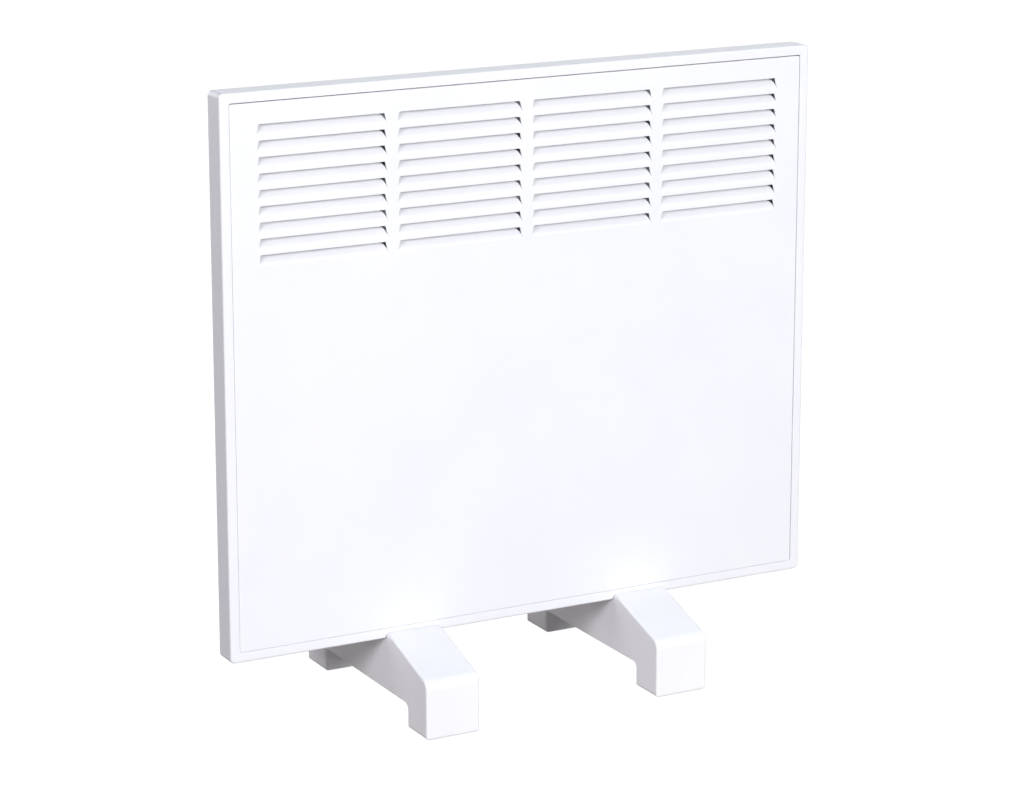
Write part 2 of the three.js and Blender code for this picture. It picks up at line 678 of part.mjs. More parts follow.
function switchBody() {
  const [halfY, halfZ] = [switchSize.y / 2, switchSize.z / 2];
  const spread = (middle, half) => [middle - half, middle + half];
  const boxX = [switchBackX, bezelX + bezelThickness / 2];
  const box = slab(boxX, spread(controlY, halfY), spread(switchZ, halfZ));
  const bezel = slab(
    [bezelX, bezelX + bezelThickness],
    spread(controlY, halfY + bezelBorder), spread(switchZ, bezelHalfZ));
  const blades = [-bladeSpacing / 2, bladeSpacing / 2].map((z) => slab(
    [switchBackX - bladeLength, switchBackX + 1],
    spread(controlY, bladeWidth / 2), spread(switchZ + z, bladeThickness / 2)));
  const cavity = slab(
    [pivotX - 2 * rockerDrop, bezelX + bezelThickness + 1],
    spread(controlY, cavityHalfY), spread(switchZ, cavityHalfZ));
  const reach = cavityHalfY + trunnionReach + runningGap;
  const pivot = rodY(trunnionRadius + runningGap, [controlY - reach, controlY + reach], pivotX, switchZ);
  return cut(join(box, bezel, ...blades), cavity, pivot);
}

// The rocker is drawn level about its pivot and rests tilted, with its lower half pressed in.
function switchRocker() {
  const length = cavityHalfZ - 2 * runningGap - 0.3;
  const crown = rockerPivotDepth + 0.4;
  const profile = outline([
    [-rockerDrop, -rockerDrop], [crown * 0.2, -length], [crown, -length], [crown * 0.6, 0],
    [crown, length], [crown * 0.2, length], [-rockerDrop, rockerDrop],
  ]);
  const half = cavityHalfY - runningGap;
  const body = prismY(profile, [-half, half]);
  const reach = cavityHalfY + trunnionReach;
  const rocker = join(body, rodY(trunnionRadius, [-reach, reach], 0, 0));
  return rocker.rotateY(THREE.MathUtils.degToRad(-rockerTilt)).translate(pivotX, controlY, switchZ);
}

// ---- Indicator lens ----
function indicatorLens() {
  const brim = lensRadius + lensBrim;
  const lens = turned([
    [0, -lensLength], [lensRadius, -lensLength], [lensRadius, 0], [brim, 0],
    [brim, lensBrim * 0.6], [lensRadius, lensBrim * 1.4], [0, lensBrim * 2],
  ]);
  return turnToX(lens).translate(bezelX, controlY, lensZ);
}

// ---- Control fascia on the outside of the right-hand wall ----
function controlFascia() {
  const height = fasciaTopZ - fasciaBottomZ;
  const plate = roundedRectangle(fasciaWidth, height, fasciaCorner, fasciaBottomZ + height / 2);
  const body = prismX(plate, [fasciaX, fasciaFaceX]).translate(0, controlY, 0);
  return cut(body, ...controlHoles([fasciaX - 1, fasciaFaceX + 1]));
}

// ---- Sensing bulb, its clip and the capillary ----
function thermostatBulb() {
  return rodZ(bulbRadius, [bulbZ, bulbZ + bulbLength], bulbX, bulbY);
}

function bulbClip() {
  const half = bulbRadius + seatGap + bulbClipWall;
  const z = bulbZ + bulbLength / 2;
  const block = slab([bayX + seatGap, bulbX + half], [bulbY - half, bulbY + half], [z, z + bulbClipHeight]);
  return cut(block, rodZ(bulbRadius + seatGap, [bulbZ, bulbZ + bulbLength], bulbX, bulbY));
}

function thermostatCapillary() {
  const top = knobZ - thermostatSize.z / 2 - seatGap;
  const start = bulbZ + bulbLength + seatGap;
  const x = thermostatX - 13;
  const y = controlY - 9;
  return tube([
    [bulbX, bulbY, start], [bulbX, bulbY, start + 8],
    [bulbX, bulbY - 3, start + bulbLead], [bulbX, y, switchZ],
    [bulbX + 3, y, lensZ - capillaryTurn], [x - 2, y, top - capillaryTail], [x, y, top - 6], [x, y, top],
  ], capillaryRadius, 40);
}

// ---- Terminal block, earth screw and cable gland ----
const terminalY = wallY - seatGap - terminalSize.y / 2;
const earthX = bayX + seatGap + screwHeadHeight / 2;
const earthY = controlY + 4;
const terminalPlace = (index) => terminalX + terminalSize.x / 2 + (index - 1) * terminalPitch;

function terminalBlock() {
  const { x, y, z } = terminalSize;
  const blockY = [terminalY - y / 2, terminalY + y / 2];
  const block = slab([terminalX, terminalX + x], blockY, [terminalTopZ - z, terminalTopZ]);
  const entries = [0, 1, 2].map((index) => rodZ(
    wireRadius + seatGap, [terminalTopZ - z / 2, terminalTopZ + 1], terminalPlace(index), terminalY));
  const screws = [0, 1, 2].map((index) => rodY(
    wireRadius + 1, [terminalY - y, terminalY - y / 4], terminalPlace(index), terminalTopZ - z / 3));
  return cut(block, ...entries, ...screws);
}

function cableGland() {
  const groove = casingX - wallX + 2 * seatGap;
  const brim = 3;
  const profile = [
    [glandBore, -brim - 5], [glandBody + 2.2, -brim], [glandBody + 2.2, 0], [glandBody, 0],
    [glandBody, groove], [glandFlange, groove], [glandFlange, groove + brim], [glandBody, groove + brim + 1],
    [glandBore + 1.5, groove + brim + glandNose], [glandBore, groove + brim + glandNose],
  ];
  return turnToX(turnedRing(profile)).translate(wallX - seatGap, controlY, glandZ);
}

// ---- Wires inside the casing ----
const entryZ = terminalTopZ - terminalSize.z / 3;
const thermostatBladeEnd = knobZ - thermostatSize.z / 2 - bladeLength - seatGap;
const switchBladeEnd = switchBackX - bladeLength - seatGap;
const cutoutWireY = shieldBackY + seatGap + bladeRise + bladeThickness / 2;
const cutoutWireX = cutoutRadius + bladeLength + seatGap;
const pinWireX = pinEnd + seatGap;
const grommetX = (ductX + bayX) / 2;
const wirePair = 2 * wireRadius; // offset of each wire from the middle of the grommet

const switchInZ = switchZ - bladeSpacing / 2;
const switchOutZ = switchZ + bladeSpacing / 2;
const cutoutRightX = cutoutFromMiddle + cutoutWireX;
const cutoutLeftX = cutoutFromMiddle - cutoutWireX;
const leftPinX = elementX - pinWireX;
const rightPinX = elementX + pinWireX;

const wires = [
  {
    name: 'wire_live_feed', material: brownInsulation, steps: 24,
    points: [
      [terminalPlace(2), terminalY, entryZ], [terminalPlace(2), terminalY, terminalTopZ + wireStub],
      [terminalPlace(2), terminalY, terminalTopZ + wireBend],
      [terminalPlace(2) - 2, controlY, switchZ - feedRun],
      [switchBladeEnd, controlY - 7, switchZ - feedBend], [switchBladeEnd - 5, controlY - 2, switchInZ - 5],
      [switchBladeEnd - 3, controlY, switchInZ], [switchBladeEnd, controlY, switchInZ],
    ],
  },
  {
    name: 'wire_switched_live', material: brownInsulation, steps: 18,
    points: [
      [switchBladeEnd, controlY, switchOutZ], [switchBladeEnd - 4, controlY, switchOutZ + 3],
      [switchBladeEnd - 3, controlY, switchOutZ + 12],
      [thermostatBladesX[0] - 1, controlY, thermostatBladeEnd - 6],
      [thermostatBladesX[0], controlY, thermostatBladeEnd],
    ],
  },
  {
    name: 'wire_thermostat_out', material: brownInsulation, steps: 44,
    points: [
      [thermostatBladesX[1], controlY, thermostatBladeEnd],
      [thermostatBladesX[1], controlY, thermostatBladeEnd - 3],
      [thermostatBladesX[1], controlY + 5, thermostatBladeEnd - 10],
      [thermostatBladesX[1] - 1, controlY + loopRear, switchZ],
      [thermostatBladesX[1] - loopSide, controlY + loopRear, switchZ - loopDrop],
      [bayX + 8, elementY + 3, grommetZ + 1], [grommetX, elementY + wirePair, grommetZ],
      [ductX - 8, elementY + wirePair, grommetZ],
      [cutoutRightX + cutoutRun, cutoutWireY + 6, cutoutZ + wireBend],
      [cutoutRightX + cutoutTail, cutoutWireY, cutoutZ + 1],
      [cutoutRightX, cutoutWireY, cutoutZ],
    ],
  },
  {
    name: 'wire_cutout_out', material: brownInsulation, steps: 44,
    points: [
      [cutoutLeftX, cutoutWireY, cutoutZ], [cutoutLeftX - cutoutTail, cutoutWireY, cutoutZ - 1],
      [elementX, cutoutWireY + 1, cutoutZ - 4],
      [elementX - bracketX + bracketRun, cutoutWireY + 2, cutoutZ - cutoutDrop],
      [leftPinX - 6, elementY - pinBend, elementZ + pinRise], [leftPinX - 6, elementY, elementZ + pinBend],
      [leftPinX - 3, elementY, elementZ], [leftPinX, elementY, elementZ],
    ],
  },
  {
    name: 'wire_neutral', material: blueInsulation, steps: 40,
    points: [
      [terminalPlace(1), terminalY, entryZ], [terminalPlace(1), terminalY, terminalTopZ + wireStub],
      [terminalPlace(1), terminalY, terminalTopZ + wireBend],
      [terminalPlace(1) - 4, terminalY - 6, grommetZ - grommetDrop],
      [bayX + 7, elementY - wirePair, grommetZ - 1], [grommetX, elementY - wirePair, grommetZ],
      [ductX - 6, elementY - wirePair, grommetZ - 1], [rightPinX + 5, elementY - 1, elementZ + pinRise],
      [rightPinX + 5, elementY, elementZ + 6], [rightPinX + 3, elementY, elementZ],
      [rightPinX, elementY, elementZ],
    ],
  },
  {
    name: 'wire_earth', material: greenInsulation, steps: 20,
    points: [
      [terminalPlace(0), terminalY, entryZ], [terminalPlace(0), terminalY, terminalTopZ + wireStub],
      [terminalPlace(0), terminalY, terminalTopZ + 8],
      [terminalPlace(0) - 2, terminalY - 1, earthZ - 6], [earthX + 2, earthY + screwHead + 7, earthZ],
      [earthX, earthY + screwHead + 2 * seatGap, earthZ],
    ],
  },
];

// ---- Feet: one symmetrical moulding, hollow and open below, that the casing drops into ----
function footProfile() {
  const lipZ = footTopZ + footLipHeight;
  const inner = casingDepth / 2 + seatGap;
  const lipY = inner + footLipThickness;
  const toeInner = footReach - toeLength;
  const slope = Math.atan2(lipZ - toeHeight, footReach - lipY);
  const tangent = toeRound * Math.tan((Math.PI / 2 - slope) / 2);
  const shape = new THREE.Shape();
  shape.moveTo(-footReach, 0);
  shape.lineTo(-footReach, toeHeight - tangent);
  shape.absarc(-footReach + toeRound, toeHeight - tangent, toeRound, Math.PI, Math.PI / 2 + slope, true);
  shape.lineTo(-lipY - footLipRound, lipZ - footLipRound * Math.sin(slope) * 1.2);
  shape.lineTo(-lipY + footLipRound * 0.8, lipZ);
  shape.lineTo(-inner, lipZ);
  shape.lineTo(-inner, footTopZ);
  shape.lineTo(inner, footTopZ);
  shape.lineTo(inner, lipZ);
  shape.lineTo(lipY - footLipRound * 0.8, lipZ);
  shape.lineTo(lipY + footLipRound, lipZ - footLipRound * Math.sin(slope) * 1.2);
  shape.absarc(footReach - toeRound, toeHeight - tangent, toeRound, Math.PI / 2 - slope, 0, true);
  shape.lineTo(footReach, 0);
  shape.lineTo(toeInner, 0);
  shape.lineTo(toeInner, archHeight - archRound);
  shape.absarc(toeInner - archRound, archHeight - archRound, archRound, 0, Math.PI / 2);
  shape.lineTo(-toeInner + archRound, archHeight);
  shape.absarc(-toeInner + archRound, archHeight - archRound, archRound, Math.PI / 2, Math.PI);
  shape.lineTo(-toeInner, 0);
  shape.closePath();
  return shape;
}

// The hollow inside a foot keeps one wall thickness to the toe ends, the slopes and the flat seat.
function footHollow() {
  const end = footReach - footWall;
  const rise = footTopZ + footLipHeight - toeHeight;
  const slope = rise / (footReach - casingDepth / 2 - seatGap - footLipThickness);
  const drop = footWall * Math.hypot(1, slope);
  const ceiling = footTopZ - footWall;
  const shoulder = toeHeight - drop + slope * footWall;
  const meet = end - (ceiling - shoulder) / slope;
  const chamfer = toeRound / 2;
  return outline([
    [-end, -1], [end, -1], [end, shoulder - chamfer], [end - chamfer, shoulder + slope * chamfer - 1],
    [Math.min(meet, end - chamfer - 1), ceiling], [-Math.min(meet, end - chamfer - 1), ceiling],
    [-end + chamfer, shoulder + slope * chamfer - 1], [-end, shoulder - chamfer],
  ]);
}

function foot() {
  const half = footWidth / 2;
  const body = prismX(footProfile(), [-half, half], footEdgeRound);
  const hollow = prismX(footHollow(), [-half + footWall, half - footWall]);
  const through = [footTopZ - 2 * footWall, footTopZ + 1];
  const holes = [-footScrewY, footScrewY].map((y) => rodZ(holeRadius, through, 0, y));
  return cut(body, hollow, ...holes);
}

// ---- Assembly ----
add('front_frame', frontFrame(), whiteEnamel);
add('front_panel', frontPanel(), whiteEnamel);

const clipX = sideX - rimWidth - panelJoint + seatGap;
for (const side of ['left', 'right']) {
  for (const level of ['lower', 'upper']) {
    const clip = add(`panel_clip_${side}_${level}`, panelClip(), springSteel);
    const z = level === 'lower' ? bottomZ + clipFromEnd : topZ - clipFromEnd;
    clip.position.set(side === 'left' ? -clipX : clipX, frameBackY - steel - seatGap, z);
    if (side === 'left') clip.position.x -= rimWidth + panelJoint - steel - 2 * seatGap;
  }
}

add('rear_casing', rearCasing(), whiteEnamel);
for (const { name, x, z } of casingScrewPlaces) {
  const fixing = add(name, screw(), zincScrew);
  fixing.position.set(x, casingFrontY + steel + seatGap, z);
  fixing.rotation.z = Math.PI;
}

add('base_plate', basePlate(), galvanised);
for (const [name, side] of [['base_screw_left', -1], ['base_screw_right', 1]]) {
  const fixing = add(name, screw(), zincScrew);
  fixing.position.set(side * (casingX + seatGap), controlY, baseScrewZ);
  fixing.rotation.z = side * Math.PI / 2;
}

add('heat_shield', heatShield(), galvanised);
add('air_deflector', airDeflector(), galvanised);
add('control_partition', controlPartition(), galvanised);
const liner = add('partition_grommet', grommet(grommetRadius, grommetRadius - 2, steel), blackPlastic);
liner.position.set(grommetX, elementY, grommetZ);

const element = new THREE.Group();
element.position.set(elementX, elementY, elementZ);
heater.add(element);
element.add(add('heating_element', finnedBar(), aluminium));
element.add(add('element_sheath', elementSheath(), galvanised));
for (const [side, sign] of [['left', -1], ['right', 1]]) {
  const pin = add(`element_terminal_${side}`, rodX(pinRadius, [0, pinLength - seatGap], 0, 0), zincScrew);
  pin.rotation.z = sign < 0 ? Math.PI : 0;
  pin.position.x = sign * (pinEnd - pinLength + seatGap);
  const bracket = add(`element_bracket_${side}`, elementBracket(), galvanised);
  bracket.position.x = sign * bracketX;
  const bush = add(`element_bushing_${side}`, grommet(bushingHole, bushingBore, steel), ceramic);
  bush.position.x = sign * bracketX;
  element.add(pin, bracket, bush);
}

const cutout = add('thermal_cutout', thermalCutout(), ceramic);
cutout.position.set(cutoutFromMiddle, shieldBackY + seatGap, cutoutZ);

add('control_fascia', controlFascia(), greyPlastic);
for (const { name, z } of fasciaScrewPlaces) {
  const fixing = add(name, screw(), zincScrew);
  fixing.position.set(fasciaFaceX + seatGap, controlY, z);
  fixing.rotation.z = Math.PI / 2;
}
add('thermostat_body', thermostatBody(), blackPlastic);
add('thermostat_shaft', thermostatShaft(), zincScrew);
add('thermostat_knob', thermostatKnob(), whitePlastic);
add('thermostat_bulb', thermostatBulb(), copper);
add('bulb_clip', bulbClip(), blackPlastic);
add('thermostat_capillary', thermostatCapillary(), copper);
add('switch_body', switchBody(), blackPlastic);
add('switch_rocker', switchRocker(), whitePlastic);
add('indicator_lens', indicatorLens(), amberLens);
add('terminal_block', terminalBlock(), ceramic);
add('cable_gland', cableGland(), blackPlastic);
const earth = add('earth_screw', screw(), zincScrew);
earth.position.set(bayX + seatGap, earthY, earthZ);
earth.rotation.z = Math.PI / 2;
for (const { name, material, steps, points } of wires) {
  add(name, tube(points, wireRadius, steps), material);
}

for (const [side, sign] of [['left', -1], ['right', 1]]) {
  const moulding = add(`${side}_foot`, foot(), whitePlastic);
  moulding.position.x = sign * footX;
  for (const [end, y] of [['front', -footScrewY], ['rear', footScrewY]]) {
    const fixing = add(`${side}_foot_screw_${end}`, screw(), zincScrew);
    fixing.position.set(sign * footX, y, footTopZ - footWall - seatGap);
    fixing.rotation.x = Math.PI / 2;
  }
}

export default heater;
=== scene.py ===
import bmesh
import bpy
import json
import math
from mathutils import Matrix, Vector
from mathutils.geometry import delaunay_2d_cdt


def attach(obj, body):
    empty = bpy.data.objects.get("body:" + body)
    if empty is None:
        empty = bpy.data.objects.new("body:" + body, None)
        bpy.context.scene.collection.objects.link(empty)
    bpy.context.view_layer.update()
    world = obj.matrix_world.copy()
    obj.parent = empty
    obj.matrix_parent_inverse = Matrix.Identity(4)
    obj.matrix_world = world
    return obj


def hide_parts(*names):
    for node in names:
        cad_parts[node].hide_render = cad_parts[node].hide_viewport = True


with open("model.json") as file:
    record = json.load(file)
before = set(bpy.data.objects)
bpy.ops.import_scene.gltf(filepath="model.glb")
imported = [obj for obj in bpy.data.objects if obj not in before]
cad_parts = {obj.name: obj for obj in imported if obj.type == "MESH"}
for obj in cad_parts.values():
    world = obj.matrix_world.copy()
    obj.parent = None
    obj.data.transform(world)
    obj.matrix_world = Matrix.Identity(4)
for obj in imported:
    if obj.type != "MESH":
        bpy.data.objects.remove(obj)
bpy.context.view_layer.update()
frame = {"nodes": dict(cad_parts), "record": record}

MM = 0.001

# ---- Sizes in millimetres, the same as the solids' ----
PANEL_WIDTH = 520
BOTTOM_Z = 63
TOP_Z = 508
FRONT_Y = -39
FRAME_BACK_Y = -17
BACK_Y = 39
STEEL = 1.2

# the gap between pieces that lie on each other, and the radius of a screw's hole
SEAT = 0.3
SCREW_HOLE = 2.1

# the frame's rim, and the joint between it and the panel
RIM = 8
JOINT = 0.4
PANEL_CORNER = 1.5
PANEL_Y = FRONT_Y + 0.4
PANEL_FLANGE = 12

# what the frame's back edge leaves open, measured from its sides, top and bottom
BACK_LIP_SIDE = 27.2
BACK_LIP_TOP = 13.2
BACK_LIP_BOTTOM = 1.9

# louvres: columns and rows of slots, each with its fin bent in below it
LOUVRE_COLUMNS = 4
LOUVRE_ROWS = 9
LOUVRE_MARGIN = 30
LOUVRE_PITCH = 12.5
LOUVRE_TOP_Z = TOP_Z - 25.3
SLOT_HEIGHT = 8
SLOT_TAPER = 1.5
SLOT_GAP = 8.6
SLOT_WIDTH = (PANEL_WIDTH - 2 * LOUVRE_MARGIN - (LOUVRE_COLUMNS - 1) * SLOT_GAP) / LOUVRE_COLUMNS
FIN_DEPTH = 5.5

# the rear casing and what is fixed to it
CASING_X = 234
CASING_TOP_Z = 496
CASING_LIP = 9
CASING_LIP_Y = FRAME_BACK_Y + SEAT + STEEL
CASING_FOOT_Z = BOTTOM_Z + 13
CASING_SCREWS = {
    "left_lower": (-238.5, 123),
    "left_upper": (-238.5, 436),
    "right_lower": (238.5, 123),
    "right_upper": (238.5, 436),
    "top_left": (-117, 500.5),
    "top_right": (117, 500.5),
}
BASE_SCREW_Z = 70.2
HANGER_X = 150
HANGER_Z = 450
HANGER_SLOT = (36, 10, 1.5)
GLAND_Z = 100
GLAND_HOLE = 7.8

# feet
FOOT_X = 103.5
FOOT_WIDTH = 46.7
FOOT_TOP_Z = 68.1
FOOT_SEAT_Z = 62.7
FOOT_SEAT_Y = 39.3
FOOT_LIP = 4.2
FOOT_REACH = 109.4
FOOT_TOE_Y = 76.4
FOOT_TOE_Z = 46.6
FOOT_WALL = 3
FOOT_SCREW_Y = 28
FOOT_SCREW_Z = 59.4

# controls on the right-hand side, on one middle line
CONTROL_Y = 11
FASCIA_X = 237.3
FASCIA_Z = 282.7
FASCIA_SCREWS = {"upper": 329.7, "lower": 235.7}
CONTROL_WINDOW = 12
CONTROL_WINDOW_Z = (238, 322)
KNOB_Z = 309.7
KNOB_BORE = 4.9
LENS_Z = 280.7
LENS_BORE = 3.7
SWITCH_Z = 253.7
SWITCH_SIZE = (14, 21)
ROCKER_X = 235.4

# ---- Sizes that only the scene's pieces have ----
# the panel's drop in the frame, its joint at each side, its rolled edge, and its slots' upper corners
SAG = 0.33
SIDE_JOINT = 0.22
PANEL_ROLL = 0.7
SLOT_CORNER = 1.3

# the fins: their tips' height above the slot's lower edge and their root's depth below it, the gap and
# the taper at each side, the power of their curl, and their tips' soft corners
FIN_RISE = SLOT_HEIGHT - 1.0
FIN_ROOT = 0.7
FIN_GAP = 0.15
FIN_TAPER = 2.4
FIN_CURL = 1.55
FIN_SOFT = 0.8

# the knob's pointer at rest and the print round it in degrees, and the marks on the rocker
KNOB_REST = 135
DIAL_START = -135
DIAL_SWEEP = 270
NUMBER_RADIUS = 19.4
MARK_Z = 4.4
PRINT_PROUD = 0.03

# ---- Room, lights and camera, in metres, watts and degrees ----
FLOOR_HALF = 40
FLOOR_Z = -0.0004
FLOOR_DARK = (0.30, 0.272, 0.268)
FLOOR_LIGHT = (0.33, 0.300, 0.295)
FLOOR_GLOW = 0.08
BACKDROP = 1.25
BACKDROP_SHARE = 0.8
SKY = 0.08

COOL = (0.965, 0.98, 1.0)
BLUE = (0.62, 0.82, 1.0)
PLAIN = (1.0, 0.985, 1.0)
LILAC = (0.95, 0.93, 1.0)
# name, place, aim, side, power and colour of each square lamp
LIGHTS = (
    ("main_light", (1.08, -5.3, 1.7), (0, 0, 0.3), 2.6, 239, COOL),
    ("overhead_light", (0.2, -0.3, 6.3), (0, 0, 0.3), 3.0, 68, BLUE),
    ("left_light", (-3.3, -2.0, 1.7), (0, 0, 0.2), 1.0, 68, LILAC),
    ("right_light", (3.0, 1.5, 1.5), (0, 0, 0.3), 1.5, 26, PLAIN),
    ("rear_light", (-0.9, 4.0, 1.1), (0, 0, 0.3), 2.0, 62, PLAIN),
    ("top_edge_light", (2.5, 4.0, 1.5), (0, 0, 0.3), 3.4, 48, PLAIN),
)

# the focal length and the photograph's width are in its pixels
PHOTO_WIDTH = 1033
FOCAL_LENGTH = 3300
SENSOR_WIDTH = 36
CAMERA_SHIFT = -0.055
CAMERA_PLACE = (-1.2104, -2.2685, 0.9083)
CAMERA_YAW = 28.304
CAMERA_PITCH = 13.733


# ---- Shader expressions ----
class Shade:
    """A socket of a node tree. Python's operators on it add the Math nodes."""

    def __init__(self, tree, socket):
        self.tree = tree
        self.socket = socket

    def math(self, operation, first, second=0.0):
        return self.tree.node("ShaderNodeMath", {"operation": operation}, {0: first, 1: second})

    def __add__(self, other):
        return self.math("ADD", self, other)

    def __sub__(self, other):
        return self.math("SUBTRACT", self, other)

    def __rsub__(self, other):
        return self.math("SUBTRACT", other, self)

    def __mul__(self, other):
        return self.math("MULTIPLY", self, other)

    def __abs__(self):
        return self.math("ABSOLUTE", self)

    __radd__ = __add__
    __rmul__ = __mul__

    def sine(self):
        return self.math("SINE", self)

    def ramp(self, low, high):
        """0 below low, 1 above high, smooth between."""
        settings = {"interpolation_type": "SMOOTHSTEP"}
        inputs = {"Value": self, "From Min": low, "From Max": high}
        return self.tree.node("ShaderNodeMapRange", settings, inputs)


class Tree:
    """A node tree, of a finish or of the sky."""

    def __init__(self, owner):
        owner.use_nodes = True
        self.nodes = owner.node_tree.nodes
        self.links = owner.node_tree.links

    def node(self, kind, settings={}, inputs={}, out=0):
        """Adds a node of a kind with its settings and its sockets' values, and gives one of its outputs."""
        made = self.nodes.new(kind)
        for key, value in settings.items():
            setattr(made, key, value)
        for key, value in inputs.items():
            self.plug(made.inputs[key], value)
        return Shade(self, made.outputs[out])

    def plug(self, socket, value):
        if isinstance(value, Shade):
            self.links.new(value.socket, socket)
        else:
            socket.default_value = value


class Finish(Tree):
    """A material: expressions on the sockets of its Principled shader. Lengths in it are millimetres."""

    def __init__(self, name, **even):
        self.material = bpy.data.materials.new(name)
        super().__init__(self.material)
        self.shader = self.nodes["Principled BSDF"]
        for socket, value in even.items():
            self.set(socket.replace("_", " ").title().replace("Ior", "IOR"), value)
        place = self.node("ShaderNodeTexCoord", out="Object")
        self.place = self.node("ShaderNodeVectorMath", {"operation": "SCALE"}, {0: place, "Scale": 1 / MM})

    def set(self, socket, value):
        self.plug(self.shader.inputs[socket], value)

    def axis(self, letter):
        return self.node("ShaderNodeSeparateXYZ", {}, {0: self.place}, letter)

    def stretched(self, x, y, z):
        return self.node("ShaderNodeVectorMath", {"operation": "MULTIPLY"}, {0: self.place, 1: (x, y, z)})

    def noise(self, size, detail=2.0, rough=0.5, at=None):
        """Noise from 0 to 1 with lumps of the given size in millimetres."""
        inputs = {"Vector": at or self.place, "Scale": 1 / size, "Detail": detail, "Roughness": rough}
        return self.node("ShaderNodeTexNoise", {}, inputs)

    def cells(self, size, out="Distance", feature="F1"):
        """Cells of the given size in millimetres: the distance to a centre or an edge, or a colour each."""
        inputs = {"Vector": self.place, "Scale": 1 / size}
        return self.node("ShaderNodeTexVoronoi", {"feature": feature}, inputs, out)

    def blend(self, amount, low, high):
        """A colour between low and high."""
        first, second = [c if isinstance(c, Shade) else (*c, 1) for c in (low, high)]
        return self.node("ShaderNodeMix", {"data_type": "RGBA"}, {0: amount, 6: first, 7: second}, 2)

    def bump(self, height, depth):
        """Relief of the given depth in millimetres."""
        inputs = {"Height": height, "Distance": depth * MM, "Strength": 1.0}
        self.set("Normal", self.node("ShaderNodeBump", {}, inputs))


def powder_coat():
    """Satin white powder coat: faint orange peel, and the slow drift in tone of a sprayed sheet."""
    f = Finish("white_powder_coat", specular_ior_level=0.45, coat_roughness=0.25)
    drift = f.noise(90, 3)
    peel = f.noise(1.9, 2, 0.45)
    grain = f.noise(0.28, 1)
    f.set("Base Color", f.blend(drift.ramp(0.3, 0.7), (0.878, 0.884, 0.908), (0.900, 0.904, 0.925)))
    f.set("Roughness", 0.36 + 0.07 * peel + 0.05 * f.noise(25, 2))
    f.set("Coat Weight", 0.08 + 0.08 * drift)
    f.bump(peel + 0.25 * grain, 0.035)
    return f.material


def moulded(name, dark, light, roughness, sheen=0.4, pit=0.45):
    """Injection-moulded plastic with an eroded tool's fine grain and faint flow marks."""
    f = Finish(name, specular_ior_level=sheen)
    flow = f.noise(30, 3, at=f.stretched(1, 1, 0.35))
    grain = f.noise(pit, 3, 0.6)
    f.set("Base Color", f.blend(flow.ramp(0.25, 0.75), dark, light))
    f.set("Roughness", roughness + 0.1 * grain + 0.06 * (flow - 0.5))
    f.bump(grain + 0.4 * f.cells(pit * 1.6), 0.03)
    return f.material


def galvanised():
    """Hot-dip zinc: spangles a few millimetres across, each with its own tone, and grey streaks."""
    f = Finish("galvanised_sheet", metallic=1.0)
    spangle = f.node("ShaderNodeSeparateColor", {}, {0: f.cells(5, "Color")}, 0)
    streak = f.noise(18, 4, at=f.stretched(1, 1, 0.25))
    tone = 0.6 * spangle + 0.4 * streak
    f.set("Base Color", f.blend(tone, (0.46, 0.48, 0.50), (0.68, 0.70, 0.72)))
    f.set("Roughness", 0.30 + 0.22 * spangle + 0.1 * streak)
    f.bump(f.cells(5, "Distance", "DISTANCE_TO_EDGE").ramp(0, 0.08) + 0.3 * f.noise(0.7), 0.02)
    return f.material


def bright_metal(name, dark, light, roughness, along=(1, 1, 1), line=0.5):
    """Drawn, rolled or turned metal: fine lines along its working direction and light tarnish."""
    f = Finish(name, metallic=1.0)
    lines = f.noise(line, 3, 0.6, at=f.stretched(*along))
    tarnish = f.noise(7, 3)
    f.set("Base Color", f.blend(0.5 * lines + 0.5 * tarnish, dark, light))
    f.set("Roughness", roughness + 0.12 * lines + 0.12 * tarnish)
    f.bump(lines, 0.015)
    return f.material


def tinted_sheath():
    """Stainless element tube, straw to blue where the heat has run to its ends."""
    f = Finish("heat_tinted_sheath", metallic=1.0)
    end = abs(f.axis("X") + 18.6) + 6 * f.noise(6, 3)
    warm = f.blend(end.ramp(168, 182), (0.30, 0.27, 0.25), (0.46, 0.36, 0.20))
    f.set("Base Color", f.blend(end.ramp(183, 193), warm, (0.22, 0.24, 0.36)))
    f.set("Roughness", 0.28 + 0.18 * f.noise(2, 3))
    f.bump(f.noise(0.5, 3, 0.6, at=f.stretched(0.05, 1, 1)), 0.02)
    return f.material


def steatite():
    """Unglazed ceramic: matt, cream, with sparse fine specks."""
    f = Finish("cream_steatite", specular_ior_level=0.3)
    speck = f.cells(0.9).ramp(0.05, 0.16)
    body = f.blend(f.noise(5, 3), (0.66, 0.60, 0.48), (0.76, 0.71, 0.60))
    f.set("Base Color", f.blend(speck, (0.38, 0.31, 0.22), body))
    f.set("Roughness", 0.68 + 0.14 * f.noise(1.2, 3))
    f.bump(f.noise(0.35, 4, 0.65), 0.05)
    return f.material


def lens_plastic():
    """Clear amber lens with moulded ribs on its inner face, and a faint painted glow."""
    f = Finish("amber_lens", ior=1.49, coat_roughness=0.06)
    height = f.axis("Z")
    rib = (height * 5.2).sine()
    f.set("Base Color", f.blend(0.5 + 0.5 * rib, (0.52, 0.09, 0.01), (0.86, 0.26, 0.03)))
    f.set("Roughness", 0.10 + 0.07 * f.noise(1.5, 2))
    f.set("Coat Weight", 0.7 + 0.3 * f.noise(4))
    # a faint emission, brighter along the ribs: a painted glow, with no lamp lit behind the lens
    f.set("Emission Strength", 0.12)
    f.set("Emission Color", f.blend(0.5 + 0.5 * rib, (0.35, 0.03, 0), (0.9, 0.2, 0.01)))
    f.bump(rib, 0.06)
    return f.material


def insulation(name, dark, light):
    """Soft PVC wire insulation: waxy, with a faint drawn grain."""
    f = Finish(name, specular_ior_level=0.4)
    f.set("Base Color", f.blend(f.noise(4, 3), dark, light))
    f.set("Roughness", 0.46 + 0.14 * f.noise(0.9, 3))
    f.bump(f.noise(0.4, 3), 0.02)
    return f.material


